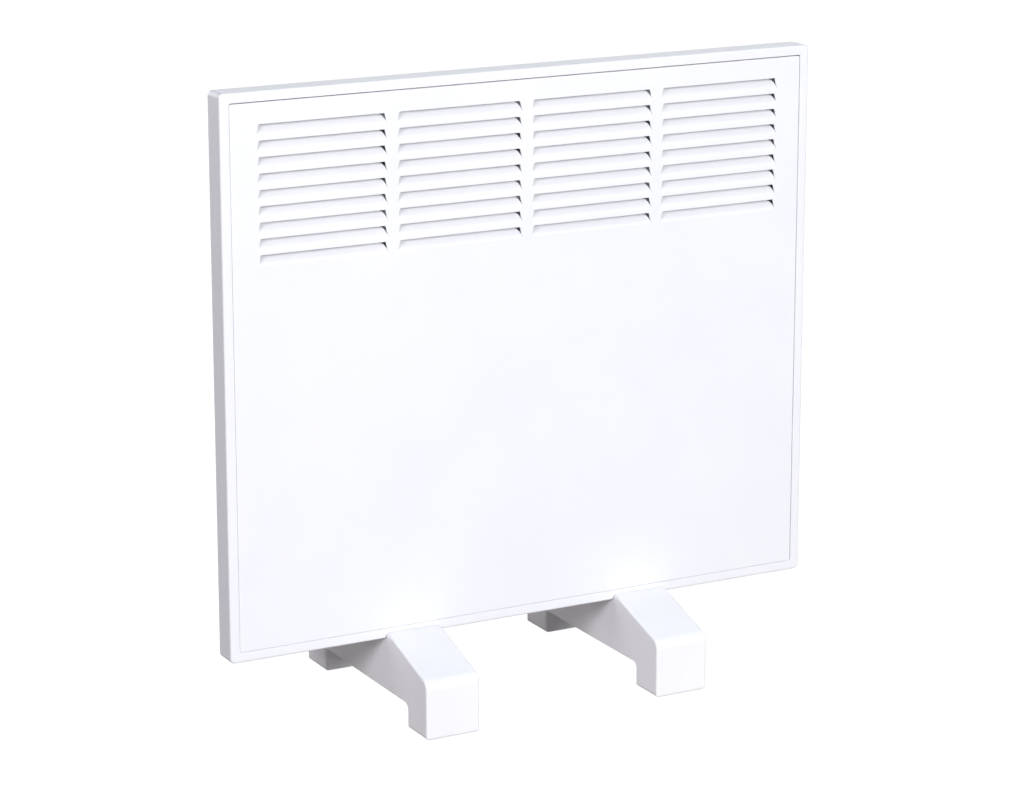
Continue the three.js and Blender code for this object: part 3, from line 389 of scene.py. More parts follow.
def earth_insulation():
    """Green insulation with its two yellow stripes winding along the wire."""
    f = Finish("green_yellow_wire", specular_ior_level=0.4)
    stripe = (f.axis("X") * 1.9 + f.axis("Y") * 1.2 + f.axis("Z") * 0.35).sine()
    f.set("Base Color", f.blend(stripe.ramp(-0.1, 0.1), (0.07, 0.26, 0.04), (0.72, 0.60, 0.03)))
    f.set("Roughness", 0.46 + 0.14 * f.noise(0.9, 3))
    f.bump(f.noise(0.4, 3), 0.02)
    return f.material


def print_ink():
    """Pad-printed grey ink with slightly broken cover."""
    f = Finish("grey_ink", specular_ior_level=0.3)
    f.set("Base Color", f.blend(f.noise(0.3, 3), (0.05, 0.052, 0.056), (0.09, 0.094, 0.1)))
    f.set("Roughness", 0.5 + 0.2 * f.noise(0.4, 3))
    f.bump(f.noise(0.3, 3), 0.01)
    return f.material


FINISHES = {
    "enamel": powder_coat(),
    "foot_plastic": moulded("white_foot_plastic", (0.915, 0.912, 0.92), (0.945, 0.942, 0.95), 0.42),
    "white_plastic": moulded("white_knob_plastic", (0.84, 0.84, 0.85), (0.88, 0.88, 0.89), 0.34, 0.5, 0.3),
    "grey_plastic": moulded("light_grey_plastic", (0.52, 0.53, 0.55), (0.58, 0.59, 0.61), 0.42),
    "black_plastic": moulded("black_plastic", (0.018, 0.018, 0.02), (0.035, 0.035, 0.038), 0.36),
    "black_rubber": moulded("black_rubber", (0.02, 0.02, 0.02), (0.035, 0.034, 0.033), 0.62, 0.25, 0.8),
    "amber_lens": lens_plastic(),
    "galvanised": galvanised(),
    "screw_steel": bright_metal("zinc_plated_steel", (0.50, 0.50, 0.50), (0.70, 0.71, 0.72), 0.22),
    "spring_steel": bright_metal("spring_steel", (0.28, 0.28, 0.30), (0.42, 0.43, 0.46), 0.28, (1, 1, 0.1)),
    "sheath_steel": tinted_sheath(),
    "element_aluminium": bright_metal(
        "drawn_aluminium", (0.58, 0.59, 0.60), (0.76, 0.77, 0.78), 0.30, (0.02, 1, 1)),
    "ceramic": steatite(),
    "copper": bright_metal(
        "drawn_copper", (0.48, 0.22, 0.11), (0.68, 0.36, 0.20), 0.26, (1, 1, 0.05), 0.3),
    "brown_wire": insulation("brown_insulation", (0.13, 0.05, 0.02), (0.19, 0.08, 0.03)),
    "blue_wire": insulation("blue_insulation", (0.02, 0.07, 0.30), (0.03, 0.11, 0.42)),
    "green_wire": earth_insulation(),
}
INK = print_ink()

for row in frame["record"]["subparts"]:
    node = frame["nodes"][row["node"]]
    node.data.materials.clear()
    node.data.materials.append(FINISHES[row["material_slot"]])


# ---- Mesh work: points are in millimetres in the CAD's frame ----
def piece(name, points, faces, slot, stands_for=(), body="casing", crease=35, material=None):
    """A mesh object with outward faces, soft across shallow edges, that rides on a body."""
    mesh = bpy.data.meshes.new(name)
    mesh.from_pydata([Vector(p) * MM for p in points], [], faces)
    solid = bmesh.new()
    solid.from_mesh(mesh)
    bmesh.ops.remove_doubles(solid, verts=solid.verts, dist=0.002 * MM)
    bmesh.ops.recalc_face_normals(solid, faces=solid.faces)
    solid.to_mesh(mesh)
    solid.free()
    made = bpy.data.objects.new(name, mesh)
    bpy.context.scene.collection.objects.link(made)
    mesh.materials.append(material or FINISHES[slot])
    made["crease"] = crease
    made["body"] = body
    made["stands_for"] = list(stands_for)
    made["slot"] = slot
    return made


def worked(made, *steps):
    """Applies modifiers to a piece, each given as its kind and settings, and keeps the result."""
    for number, (kind, settings) in enumerate(steps):
        step = made.modifiers.new(f"{number}", kind)
        for key, value in settings.items():
            setattr(step, key, value)
    bpy.context.view_layer.update()
    evaluated = made.evaluated_get(bpy.context.evaluated_depsgraph_get())
    mesh = bpy.data.meshes.new_from_object(evaluated)
    made.modifiers.clear()
    made.data = mesh
    return made


def carved(made, *tools):
    """Cuts each tool's shape out of a piece, and removes the tool."""
    for tool in tools:
        settings = {"object": tool, "operation": "DIFFERENCE", "solver": "EXACT"}
        worked(made, ("BOOLEAN", settings))
        bpy.data.objects.remove(tool)
    return made


def done(made):
    """Soft shading with crisp creases, then the piece joins its body."""
    made.data.shade_smooth()
    made.data.set_sharp_from_angle(angle=math.radians(made["crease"]))
    worked(made, ("WEIGHTED_NORMAL", {"keep_sharp": True, "weight": 80}))
    if len(made["stands_for"]):
        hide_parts(*made["stands_for"])
    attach(made, made["body"])
    for note in ("crease", "body", "stands_for", "slot"):
        del made[note]
    return made


def block(name, x, y, z, slot):
    """A cuboid between the two given values of each axis."""
    points = [(a, b, c) for a in x for b in y for c in z]
    faces = [(0, 1, 3, 2), (4, 6, 7, 5), (0, 4, 5, 1), (2, 3, 7, 6), (0, 2, 6, 4), (1, 5, 7, 3)]
    return piece(name, points, faces, slot)


def box_tool(x, y, z):
    return block("tool", x, y, z, "enamel")


def circle(radius, count):
    angles = [2 * math.pi / count * i for i in range(count)]
    return [(radius * math.cos(a), radius * math.sin(a)) for a in angles]


def stacked(rings, closed_rings=True, closed_stack=False, ends=True):
    """Joins rings of equally many points into one skin."""
    count = len(rings[0])
    points = [p for ring in rings for p in ring]
    faces = []
    levels = len(rings) if closed_stack else len(rings) - 1
    for k in range(levels):
        a, b = k * count, (k + 1) % len(rings) * count
        for i in range(count if closed_rings else count - 1):
            j = (i + 1) % count
            faces.append((a + i, a + j, b + j, b + i))
    if ends and not closed_stack:
        faces.append(tuple(range(count)))
        faces.append(tuple(range(len(points) - count, len(points))))
    return points, faces


def turned(profile, count=32, axis="X", centre=(0, 0, 0)):
    """A solid of revolution from (radius, distance along the axis) points; it closes on itself."""
    rings = []
    for radius, along in profile:
        ring = []
        for a, b in circle(max(radius, 0.01), count):
            p = {"X": (along, a, b), "Y": (a, along, b), "Z": (a, b, along)}[axis]
            ring.append(tuple(p[k] + centre[k] for k in range(3)))
        rings.append(ring)
    return stacked(rings)


def rod_tool(radius, axis, centre, reach, count=24):
    """A round cutter that reaches equally far to both sides of its centre."""
    return piece("tool", *turned([(radius, -reach), (radius, reach)], count, axis, centre), "enamel")


def span(centre, half):
    return centre - half, centre + half


def rectangle(left, right, bottom, top, radius, y, corner=6):
    """A rounded rectangle in X and Z at depth y, counter-clockwise seen from the front."""
    ring = []
    centres = [(right, top, -1, -1), (left, top, 1, -1), (left, bottom, 1, 1), (right, bottom, -1, 1)]
    for quarter, (x, z, sx, sz) in enumerate(centres):
        for i in range(corner + 1):
            angle = math.pi / 2 * (quarter + i / corner)
            dx, dz = radius * math.cos(angle), radius * math.sin(angle)
            ring.append((x + sx * radius + dx, y, z + sz * radius + dz))
    return ring


def arc(centre, radius, start, end, steps):
    """Points of an arc in a plane, with its angles in degrees."""
    angles = [math.radians(start + (end - start) * i / steps) for i in range(steps + 1)]
    return [(centre[0] + radius * math.cos(a), centre[1] + radius * math.sin(a)) for a in angles]


def filled(outline, holes):
    """Flat triangles between an outline and its convex holes. All are lists of (x, z), joined in order."""
    points, edges, owner = [], [], []
    for number, loop in enumerate([outline, *holes]):
        first = len(points)
        points += loop
        owner += [number] * len(loop)
        edges += [(first + i, first + (i + 1) % len(loop)) for i in range(len(loop))]
    result = delaunay_2d_cdt([Vector(p) for p in points], edges, [], 1, 1e-5, True)
    source = [owner[ids[0]] for ids in result[3]]
    keep = [f for f in result[2] if source[f[0]] == 0 or len({source[v] for v in f}) > 1]
    return [tuple(p) for p in result[0]], keep


def add_skin(points, faces, more_points, more_faces):
    """Adds a second skin's points and faces to the first's."""
    first = len(points)
    points += more_points
    faces += [tuple(first + v for v in f) for f in more_faces]


def thickened(made, facing):
    """Gives a skin the steel's thickness, behind its largest face; facing is that face's sign along Y."""
    largest = max(made.data.polygons, key=lambda p: p.area)
    offset = -1.0 if largest.normal.y * facing > 0 else 1.0
    settings = {"thickness": STEEL * MM, "offset": offset, "use_even_offset": True}
    return worked(made, ("SOLIDIFY", settings))


# ---- Front frame: a pressed steel tray with rolled front and rear edges ----
def frame_ring(inset, y, radius):
    x = PANEL_WIDTH / 2 - inset
    return rectangle(-x, x, BOTTOM_Z + inset, TOP_Z - inset, radius, y)


def back_lip_ring(y, radius):
    """The edge of the opening in the frame's back, which the casing covers."""
    x = PANEL_WIDTH / 2 - BACK_LIP_SIDE
    return rectangle(-x, x, BOTTOM_Z + BACK_LIP_BOTTOM, TOP_Z - BACK_LIP_TOP, radius, y)


def front_frame():
    roll, inner = 1.5, 0.5
    corner, shrink, inner_corner, lip_corner = 4, 0.6, 2.8, 0.6
    depth = FRAME_BACK_Y - FRONT_Y
    rim_edge = ((RIM - 0.3, 0), (RIM - 0.08, 0.1), (RIM, 0.35), (RIM, STEEL - 0.2), (RIM - 0.2, STEEL))
    rings = []
    # each pair is a distance in from the frame's side and a depth behind its face
    for i, d in arc((roll, roll), roll, 180, 270, 4):
        rings.append(frame_ring(i, FRONT_Y + d, corner - i * shrink))
    rings.append(frame_ring(3, FRONT_Y, 3))
    for i, d in rim_edge:
        rings.append(frame_ring(i, FRONT_Y + d, PANEL_CORNER + JOINT))
    for i, d in reversed(arc((STEEL + inner, STEEL + inner), inner, 180, 270, 3)):
        rings.append(frame_ring(i, FRONT_Y + d, inner_corner))
    for i, d in arc((STEEL + inner, depth - STEEL - inner), inner, 180, 90, 3):
        rings.append(frame_ring(i, FRONT_Y + d, inner_corner))
    rings += [back_lip_ring(FRONT_Y + d, lip_corner) for d in (depth - STEEL, depth)]
    for i, d in arc((roll, depth - roll), roll, 90, 180, 4):
        rings.append(frame_ring(i, FRONT_Y + d, corner - i * shrink))
    made = piece("frame_pressing", *stacked(rings, closed_stack=True), "enamel", ["front_frame"])
    holes = [rod_tool(SCREW_HOLE, "Y", (x, FRAME_BACK_Y, z), 3) for x, z in CASING_SCREWS.values()]
    holes += [rod_tool(SCREW_HOLE, "Z", (x, -FOOT_SCREW_Y, BOTTOM_Z), 3) for x in (-FOOT_X, FOOT_X)]
    return done(carved(made, *holes))


# ---- Front panel: one sheet with rolled edges and louvres lanced and bent inwards ----
def slot_reach(height):
    """Half a slot's width at a height above its lower edge."""
    return SLOT_WIDTH / 2 - SLOT_TAPER * height / SLOT_HEIGHT


def fin_reach(height):
    """Half a fin's width at that height."""
    return slot_reach(height) - FIN_GAP - FIN_TAPER * (max(height, 0) / FIN_RISE) ** 3


def slot_hole(x, z):
    """A slot's outline in X and Z, with (x, z) at the middle of its lower edge."""
    top, bottom = z + SLOT_HEIGHT, z - FIN_ROOT
    low, high = slot_reach(-FIN_ROOT), slot_reach(SLOT_HEIGHT)
    root = low - FIN_GAP
    hole = [(x - low, bottom), (x - root, bottom), (x + root, bottom), (x + low, bottom)]
    for side, start in ((1, 0), (-1, 90)):
        centre = (side * (high - SLOT_CORNER), top - SLOT_CORNER)
        hole += [(x + across, up) for across, up in arc(centre, SLOT_CORNER, start, start + 90, 3)]
    return hole


def fin_section():
    """The fin's section as (depth behind the face, height above the slot's lower edge)."""
    steps = 7
    section = []
    for i in range(steps + 1):
        height = -FIN_ROOT + (FIN_RISE + FIN_ROOT) * i / steps
        section.append((FIN_DEPTH * (i / steps) ** FIN_CURL, height))
    return section


def fin_rows(x, z):
    """A fin as rows of two points from its root to its tip, which has two small soft corners."""
    section = fin_section()
    rows = []
    for depth, height in section:
        half = fin_reach(height)
        rows.append([(x - half, PANEL_Y + depth, z + height), (x + half, PANEL_Y + depth, z + height)])
    half = fin_reach(FIN_RISE)
    (y0, z0), (y1, z1) = section[-2:]
    soft = FIN_SOFT / math.hypot(y1 - y0, z1 - z0)
    before = (PANEL_Y + y1 - (y1 - y0) * soft, z + z1 - (z1 - z0) * soft)
    tip = (PANEL_Y + y1, z + z1)
    rows[-1] = [(x - half, *before), (x + half, *before)]
    rows.append([(x - half + FIN_SOFT, *tip), (x + half - FIN_SOFT, *tip)])
    return rows


def front_panel():
    half_x = PANEL_WIDTH / 2 - RIM - SIDE_JOINT
    # the sheet's weight rests it low in the frame, so the joint is finer below than above
    low_z, high_z = BOTTOM_Z + RIM + JOINT - SAG, TOP_Z - RIM - JOINT - SAG

    def edge_ring(inset, y, radius):
        return rectangle(-half_x + inset, half_x - inset, low_z + inset, high_z - inset, radius, y)

    rings = [edge_ring(0, PANEL_Y + d, PANEL_CORNER) for d in (PANEL_FLANGE, PANEL_FLANGE / 2)]
    for i, d in arc((PANEL_ROLL, PANEL_ROLL), PANEL_ROLL, 180, 270, 4):
        rings.append(edge_ring(i, PANEL_Y + d, PANEL_CORNER - i))
    points, faces = stacked(rings, ends=False)

    places = []
    for column in range(LOUVRE_COLUMNS):
        x = -PANEL_WIDTH / 2 + LOUVRE_MARGIN + SLOT_WIDTH / 2 + column * (SLOT_WIDTH + SLOT_GAP)
        for row in range(LOUVRE_ROWS):
            places.append((x, LOUVRE_TOP_Z - SLOT_HEIGHT - row * LOUVRE_PITCH))
    outline = [(p[0], p[2]) for p in rings[-1]]
    flat, triangles = filled(outline, [slot_hole(x, z) for x, z in places])
    add_skin(points, faces, [(x, PANEL_Y, z) for x, z in flat], triangles)
    for x, z in places:
        add_skin(points, faces, *stacked(fin_rows(x, z), closed_rings=False, ends=False))
    made = piece("panel_sheet", points, faces, "enamel", ["front_panel"], crease=50)
    return done(thickened(made, -1))


# ---- Rear casing: sides, top and back from one sheet ----
def arch(inset, y, radius, steps=6):
    """An open line up one side, over the top and down the other."""
    x, top = CASING_X - inset, CASING_TOP_Z - inset
    line = [(-x, y, BOTTOM_Z), (-x, y, CASING_FOOT_Z)]
    line += [(-x + radius + a, y, top - radius + b) for a, b in arc((0, 0), radius, 180, 90, steps)]
    line += [(x - radius + a, y, top - radius + b) for a, b in arc((0, 0), radius, 90, 0, steps)]
    return line + [(x, y, CASING_FOOT_Z), (x, y, BOTTOM_Z)]


def hanger_slot(x):
    """The outline of one of the two slots that hang the heater on a wall."""
    width, height, corner = HANGER_SLOT
    ring = rectangle(*span(x, width / 2), *span(HANGER_Z, height / 2), corner, 0, 3)
    return [(p[0], p[2]) for p in ring]


def rear_casing():
    fold, roll, corner = 1.0, 2.2, 3
    profile = [(-CASING_LIP, CASING_LIP_Y), (-CASING_LIP / 2, CASING_LIP_Y)]
    profile += arc((-fold, CASING_LIP_Y + fold), fold, 270, 360, 4)
    profile += arc((roll, BACK_Y - roll), roll, 180, 90, 5)
    lines = [arch(i, y, corner) for i, y in profile]
    points, faces = stacked(lines, closed_rings=False, ends=False)
    outline = [(p[0], p[2]) for p in lines[-1]]
    flat, triangles = filled(outline, [hanger_slot(x) for x in (-HANGER_X, HANGER_X)])
    add_skin(points, faces, [(x, BACK_Y, z) for x, z in flat], triangles)
    made = thickened(piece("casing_shell", points, faces, "enamel", ["rear_casing"], crease=40), 1)
    holes = [rod_tool(SCREW_HOLE, "Y", (x, CASING_LIP_Y, z), 3) for x, z in CASING_SCREWS.values()]
    holes += [rod_tool(SCREW_HOLE, "X", (x, CONTROL_Y, BASE_SCREW_Z), 4) for x in (-CASING_X, CASING_X)]
    holes.append(rod_tool(GLAND_HOLE, "X", (CASING_X, CONTROL_Y, GLAND_Z), 4, 32))
    holes.append(box_tool(span(CASING_X, 4), span(CONTROL_Y, CONTROL_WINDOW), CONTROL_WINDOW_Z))
    return done(carved(made, *holes))


# ---- Feet: a hollow moulding with soft edges ----
def foot_outline():
    """The foot's side view as (y, z) points: front toe, slope, lip, seat, and the same behind."""
    toe_round, arch_round, soft = 9, 5, 1.8
    arch_z, edge_z = 19.8, 8.0
    crest_y, crest_z = 45.3, FOOT_TOP_Z - 0.75
    slope = math.atan2(crest_z - FOOT_TOE_Z, FOOT_REACH - crest_y)
    tangent = toe_round * math.tan((math.pi / 2 - slope) / 2)
    half = [(0.0, FOOT_SEAT_Z), (FOOT_SEAT_Y, FOOT_SEAT_Z)]
    half += arc((FOOT_SEAT_Y + soft, FOOT_TOP_Z - soft), soft, 180, 90, 4)
    half += [(crest_y - 2.9, FOOT_TOP_Z), (crest_y - 1.3, FOOT_TOP_Z - 0.25), (crest_y, crest_z)]
    half += [(crest_y + d, crest_z - d * math.tan(slope)) for d in (1.5, 3.5, 6, 9, 13)]
    toe_centre = (FOOT_REACH - toe_round, FOOT_TOE_Z - tangent)
    half += arc(toe_centre, toe_round, 90 - math.degrees(slope), 0, 8)
    half += [(FOOT_REACH, edge_z)] + arc((FOOT_REACH - soft, soft), soft, 0, -90, 3)
    half += [(FOOT_TOE_Y + 3, 0.0), (FOOT_TOE_Y, 0.0), (FOOT_TOE_Y, 3.0), (FOOT_TOE_Y, edge_z)]
    half += arc((FOOT_TOE_Y - arch_round, arch_z - arch_round), arch_round, 0, 90, 5)
    half += [(0.0, arch_z)]
    mirror = [(-y, z) for y, z in reversed(half) if y > 0]
    return half + mirror


def drawn_in(outline, amount):
    """The outline moved inwards by an amount, corner by corner."""
    moved = []
    for i, here in enumerate(outline):
        sides = []
        for a, b in ((outline[i - 1], here), (here, outline[(i + 1) % len(outline)])):
            run = Vector(b) - Vector(a)
            sides.append(Vector((run.y, -run.x)).normalized())
        lean = sides[0] + sides[1]
        moved.append(Vector(here) + lean * amount * 2 / lean.length_squared)
    return moved


def dip(from_side, radius):
    """How far a corner of the given radius has dropped away at a distance from the side."""
    if from_side >= radius:
        return 0.0
    return radius - math.sqrt(radius ** 2 - (radius - from_side) ** 2)


def foot_pockets():
    """Side views of the moulding's three pockets, open below: under the casing, and in each toe."""
    end, ceiling = FOOT_REACH - FOOT_WALL, FOOT_SEAT_Z - FOOT_WALL
    rise = (FOOT_TOP_Z - FOOT_TOE_Z) / (FOOT_REACH - FOOT_SEAT_Y - FOOT_LIP)
    shoulder = FOOT_TOE_Z - FOOT_WALL * math.hypot(1, rise) + rise * FOOT_WALL
    chamfer, below = 4.5, -2

    def underside(y):
        return min(ceiling, shoulder + rise * (end - y))

    flat = end - (ceiling - shoulder) / rise
    middle = [(FOOT_TOE_Y, below), (FOOT_TOE_Y, underside(FOOT_TOE_Y)), (flat, ceiling)]
    middle += [(-y, z) for y, z in reversed(middle)]
    start = FOOT_TOE_Y + FOOT_WALL
    toe = [(start, below), (start, underside(start)), (end - chamfer, underside(end - chamfer))]
    toe += [(end - 1.4, shoulder - 1.6), (end, shoulder - chamfer), (end, below)]
    return middle, toe, [(-y, z) for y, z in reversed(toe)]


def prism(outline, x0, x1):
    return stacked([[(x, y, z) for y, z in outline] for x in (x0, x1)])


def foot(side, sign):
    middle, half = sign * FOOT_X, FOOT_WIDTH / 2
    edge, corner, toe_corner = 1.7, 4.0, 3.6
    # distances from the foot's side at which its cross-section is taken, closer together at the edge
    sweep = [edge * (1 - math.cos(math.pi / 2 * i / 5)) for i in range(6)] + [2.1, 2.8, corner, half / 2]
    sections = []
    for from_side in sweep:
        top, bottom = FOOT_TOP_Z - dip(from_side, corner), dip(from_side, toe_corner)
        section = [(y, min(max(z, bottom), top)) for y, z in drawn_in(foot_outline(), dip(from_side, edge))]
        sections.append((half - from_side, section))
    rings = [[(middle - x, y, z) for y, z in section] for x, section in sections]
    rings += [[(middle + x, y, z) for y, z in section] for x, section in reversed(sections)]
    made = piece(f"{side}_foot_moulding", *stacked(rings), "foot_plastic", [f"{side}_foot"], crease=32)
    soft = {"width": 1.0 * MM, "segments": 2, "limit_method": "ANGLE", "angle_limit": math.radians(50)}
    pockets = []
    for outline in foot_pockets():
        walls = (middle - half + FOOT_WALL, middle + half - FOOT_WALL)
        pockets.append(worked(piece("tool", *prism(outline, *walls), "foot_plastic"), ("BEVEL", soft)))
    hole_z = 61
    holes = [rod_tool(SCREW_HOLE, "Z", (middle, y, hole_z), 4) for y in (-FOOT_SCREW_Y, FOOT_SCREW_Y)]
    return done(carved(made, *pockets, *holes))


# ---- Screws: pan heads with a cross recess ----
def screw(node, place, direction):
    head, height, shank, length = 3.6, 2.0, 1.8, 9.0
    thread, depth, point = 0.8, 0.35, 1.8
    profile = [(0, -height), (head * 0.45, -height), (head * 0.72, -height * 0.94)]
    profile += [(head * 0.9, -height * 0.72), (head, -height * 0.35), (head, -0.1)]
    profile += [(head - 0.1, 0), (shank, 0)]
    z = 0.6
    while z < length - point - thread / 2:
        profile += [(shank, z), (shank - depth, z + thread / 2), (shank, z + thread)]
        z += thread
    profile += [(shank, length - point), (0, length)]
    made = piece(f"{node}_turned", *turned(profile, 24, "Z"), "screw_steel", [node])
    recess = 1.1
    long, wide, deep = span(0, 2.1), span(0, 0.42), (-height - 1, -height + recess)
    carved(made, box_tool(long, wide, deep), box_tool(wide, long, deep))
    turn = Vector((0, 0, 1)).rotation_difference(Vector(direction)).to_matrix().to_4x4()
    made.data.transform(Matrix.Translation(Vector(place) * MM) @ turn)
    return done(made)


def screws():
    for name, (x, z) in CASING_SCREWS.items():
        screw(f"casing_screw_{name}", (x, CASING_LIP_Y + SEAT, z), (0, -1, 0))
    for side, sign in (("left", -1), ("right", 1)):
        screw(f"base_screw_{side}", (sign * (CASING_X + SEAT), CONTROL_Y, BASE_SCREW_Z), (-sign, 0, 0))
        for end, y in (("front", -FOOT_SCREW_Y), ("rear", FOOT_SCREW_Y)):
            screw(f"{side}_foot_screw_{end}", (sign * FOOT_X, y, FOOT_SCREW_Z), (0, 0, 1))
    for level, z in FASCIA_SCREWS.items():
        screw(f"fascia_screw_{level}", (FASCIA_X + SEAT, CONTROL_Y, z), (-1, 0, 0))


# ---- Controls on the right-hand side ----
def side_rectangle(x, width, height, radius, z, corner=5):
    """A rounded rectangle in Y and Z at the given X, round the controls' middle line."""
    ring = rectangle(*span(CONTROL_Y, width / 2), *span(z, height / 2), radius, 0, corner)
    return [(x, p[0], p[2]) for p in ring]


def control_fascia():
    width, height, corner, edge = 42, 110, 5, 0.8
    rings = [side_rectangle(CASING_X + SEAT, width, height, corner, FASCIA_Z)]

    def face_ring(inset, rise, radius):
        x = FASCIA_X + rise
        rings.append(side_rectangle(x, width - 2 * inset, height - 2 * inset, radius, FASCIA_Z))

    for i, d in arc((edge, -edge), edge, 180, 90, 4):
        face_ring(i, d, corner - i)
    # a fine groove just inside the edge
    for i, d in ((3.0, 0), (3.3, -0.35), (3.9, -0.35), (4.2, 0)):
        face_ring(i, d, corner - i * 0.6)
    made = piece("fascia_moulding", *stacked(rings), "grey_plastic", ["control_fascia"])
    bores = [(KNOB_BORE, KNOB_Z), (LENS_BORE, LENS_Z)] + [(SCREW_HOLE, z) for z in FASCIA_SCREWS.values()]
    tools = [rod_tool(radius, "X", (FASCIA_X, CONTROL_Y, z), 6, 40) for radius, z in bores]
    across, up = (side / 2 + SEAT for side in SWITCH_SIZE)
    tools.append(box_tool((CASING_X - 2, FASCIA_X + 2), span(CONTROL_Y, across), span(SWITCH_Z, up)))
    return done(carved(made, *tools))


def thermostat_knob():
    """A skirted knob with finger flutes, a domed top and a raised pointer."""
    count, flutes, sharpness = 144, 18, 0.7
    back = FASCIA_X + 2 * SEAT
    # radius, distance from the knob's back, and depth of the flutes
    profile = [
        (3.3, 10.9, 0), (3.3, 0.2, 0), (3.5, 0, 0), (15.6, 0, 0), (15.9, 0.2, 0), (16, 0.6, 0), (16, 1.6, 0),
        (15.6, 2.3, 0), (14.9, 2.7, 0), (13.9, 2.9, 0), (13.5, 3.3, 0.5), (13.4, 4, 0.9), (13.0, 12, 0.9),
        (12.8, 13.2, 0.75), (12.3, 14.1, 0.4), (11.6, 14.7, 0), (10.6, 15, 0), (9.8, 14.9, 0),
        (9.2, 14.6, 0), (4, 14.4, 0),
    ]
    rings = []
    for radius, along, flute in profile:
        ring = []
        for i, (a, b) in enumerate(circle(1, count)):
            wave = max(0.0, math.cos(2 * math.pi * i / count * flutes)) ** sharpness
            r = radius - flute * wave
            ring.append((back + along, CONTROL_Y + a * r, KNOB_Z + b * r))
        rings.append(ring)
    done(piece("knob_moulding", *stacked(rings), "white_plastic", ["thermostat_knob"], "knob"))

    # the pointer lies along the knob's radius, and is a little smaller at its top
    outline = [(11.0, -0.7), (11.0, 0.7), (4.0, 1.0), (3.6, 0.7), (3.6, -0.7), (4.0, -1.0)]
    middle, slimming = 8, 1.2
    rest = math.radians(KNOB_REST)
    low, high = 14.2, 16.2
    rings = []
    for along, shrink in ((low, 0), (high - 0.4, 0), (high - 0.1, 0.12), (high, 0.3)):
        ring = []
        for radius, across in outline:
            up = radius - shrink if radius > middle else radius + shrink
            across = across * (1 - shrink / slimming)
            y = -up * math.sin(rest) + across * math.cos(rest)
            z = up * math.cos(rest) + across * math.sin(rest)
            ring.append((back + along, CONTROL_Y + y, KNOB_Z + z))
        rings.append(ring)
    done(piece("knob_pointer", *stacked(rings), "black_plastic", (), "knob"))


def switch():
    """The switch's housing with its bezel and cavity, and its two tabs behind."""
    width, height = SWITCH_SIZE
    border, thickness, edge, corner = 2, 1.6, 0.7, 1.6
    housing_back, cavity_back = 217.6, 227.4
    cavity, cavity_rise = 5.5, 8.5
    pivot_hole, pivot_reach = 1.5, 6.5
    tab_x, tab_half, tab_thin, tab_z = (211.6, 218), 3.15, 0.4, 5
    bezel_x = FASCIA_X + SEAT
    rings = [side_rectangle(x, width, height, 0.6, SWITCH_Z) for x in (housing_back, bezel_x)]
    width, height = width + 2 * border, height + 2 * border
    rings.append(side_rectangle(bezel_x, width, height, corner, SWITCH_Z))
    for i, d in arc((edge, thickness - edge), edge, 180, 90, 3):
        rings.append(side_rectangle(bezel_x + d, width - 2 * i, height - 2 * i, corner - i, SWITCH_Z))
    made = piece("switch_housing", *stacked(rings), "black_plastic", ["switch_body"])
    hollow = box_tool((cavity_back, bezel_x + 3), span(CONTROL_Y, cavity), span(SWITCH_Z, cavity_rise))
    pivot = rod_tool(pivot_hole, "Y", (ROCKER_X, CONTROL_Y, SWITCH_Z), pivot_reach)
    done(carved(made, hollow, pivot))
    for number, z in ((1, -tab_z), (2, tab_z)):
        blade = (tab_x, span(CONTROL_Y, tab_half), span(SWITCH_Z + z, tab_thin))
        tab = block(f"switch_tab_{number}", *blade, "screw_steel")
        done(worked(tab, ("BEVEL", {"width": 0.15 * MM, "segments": 2})))


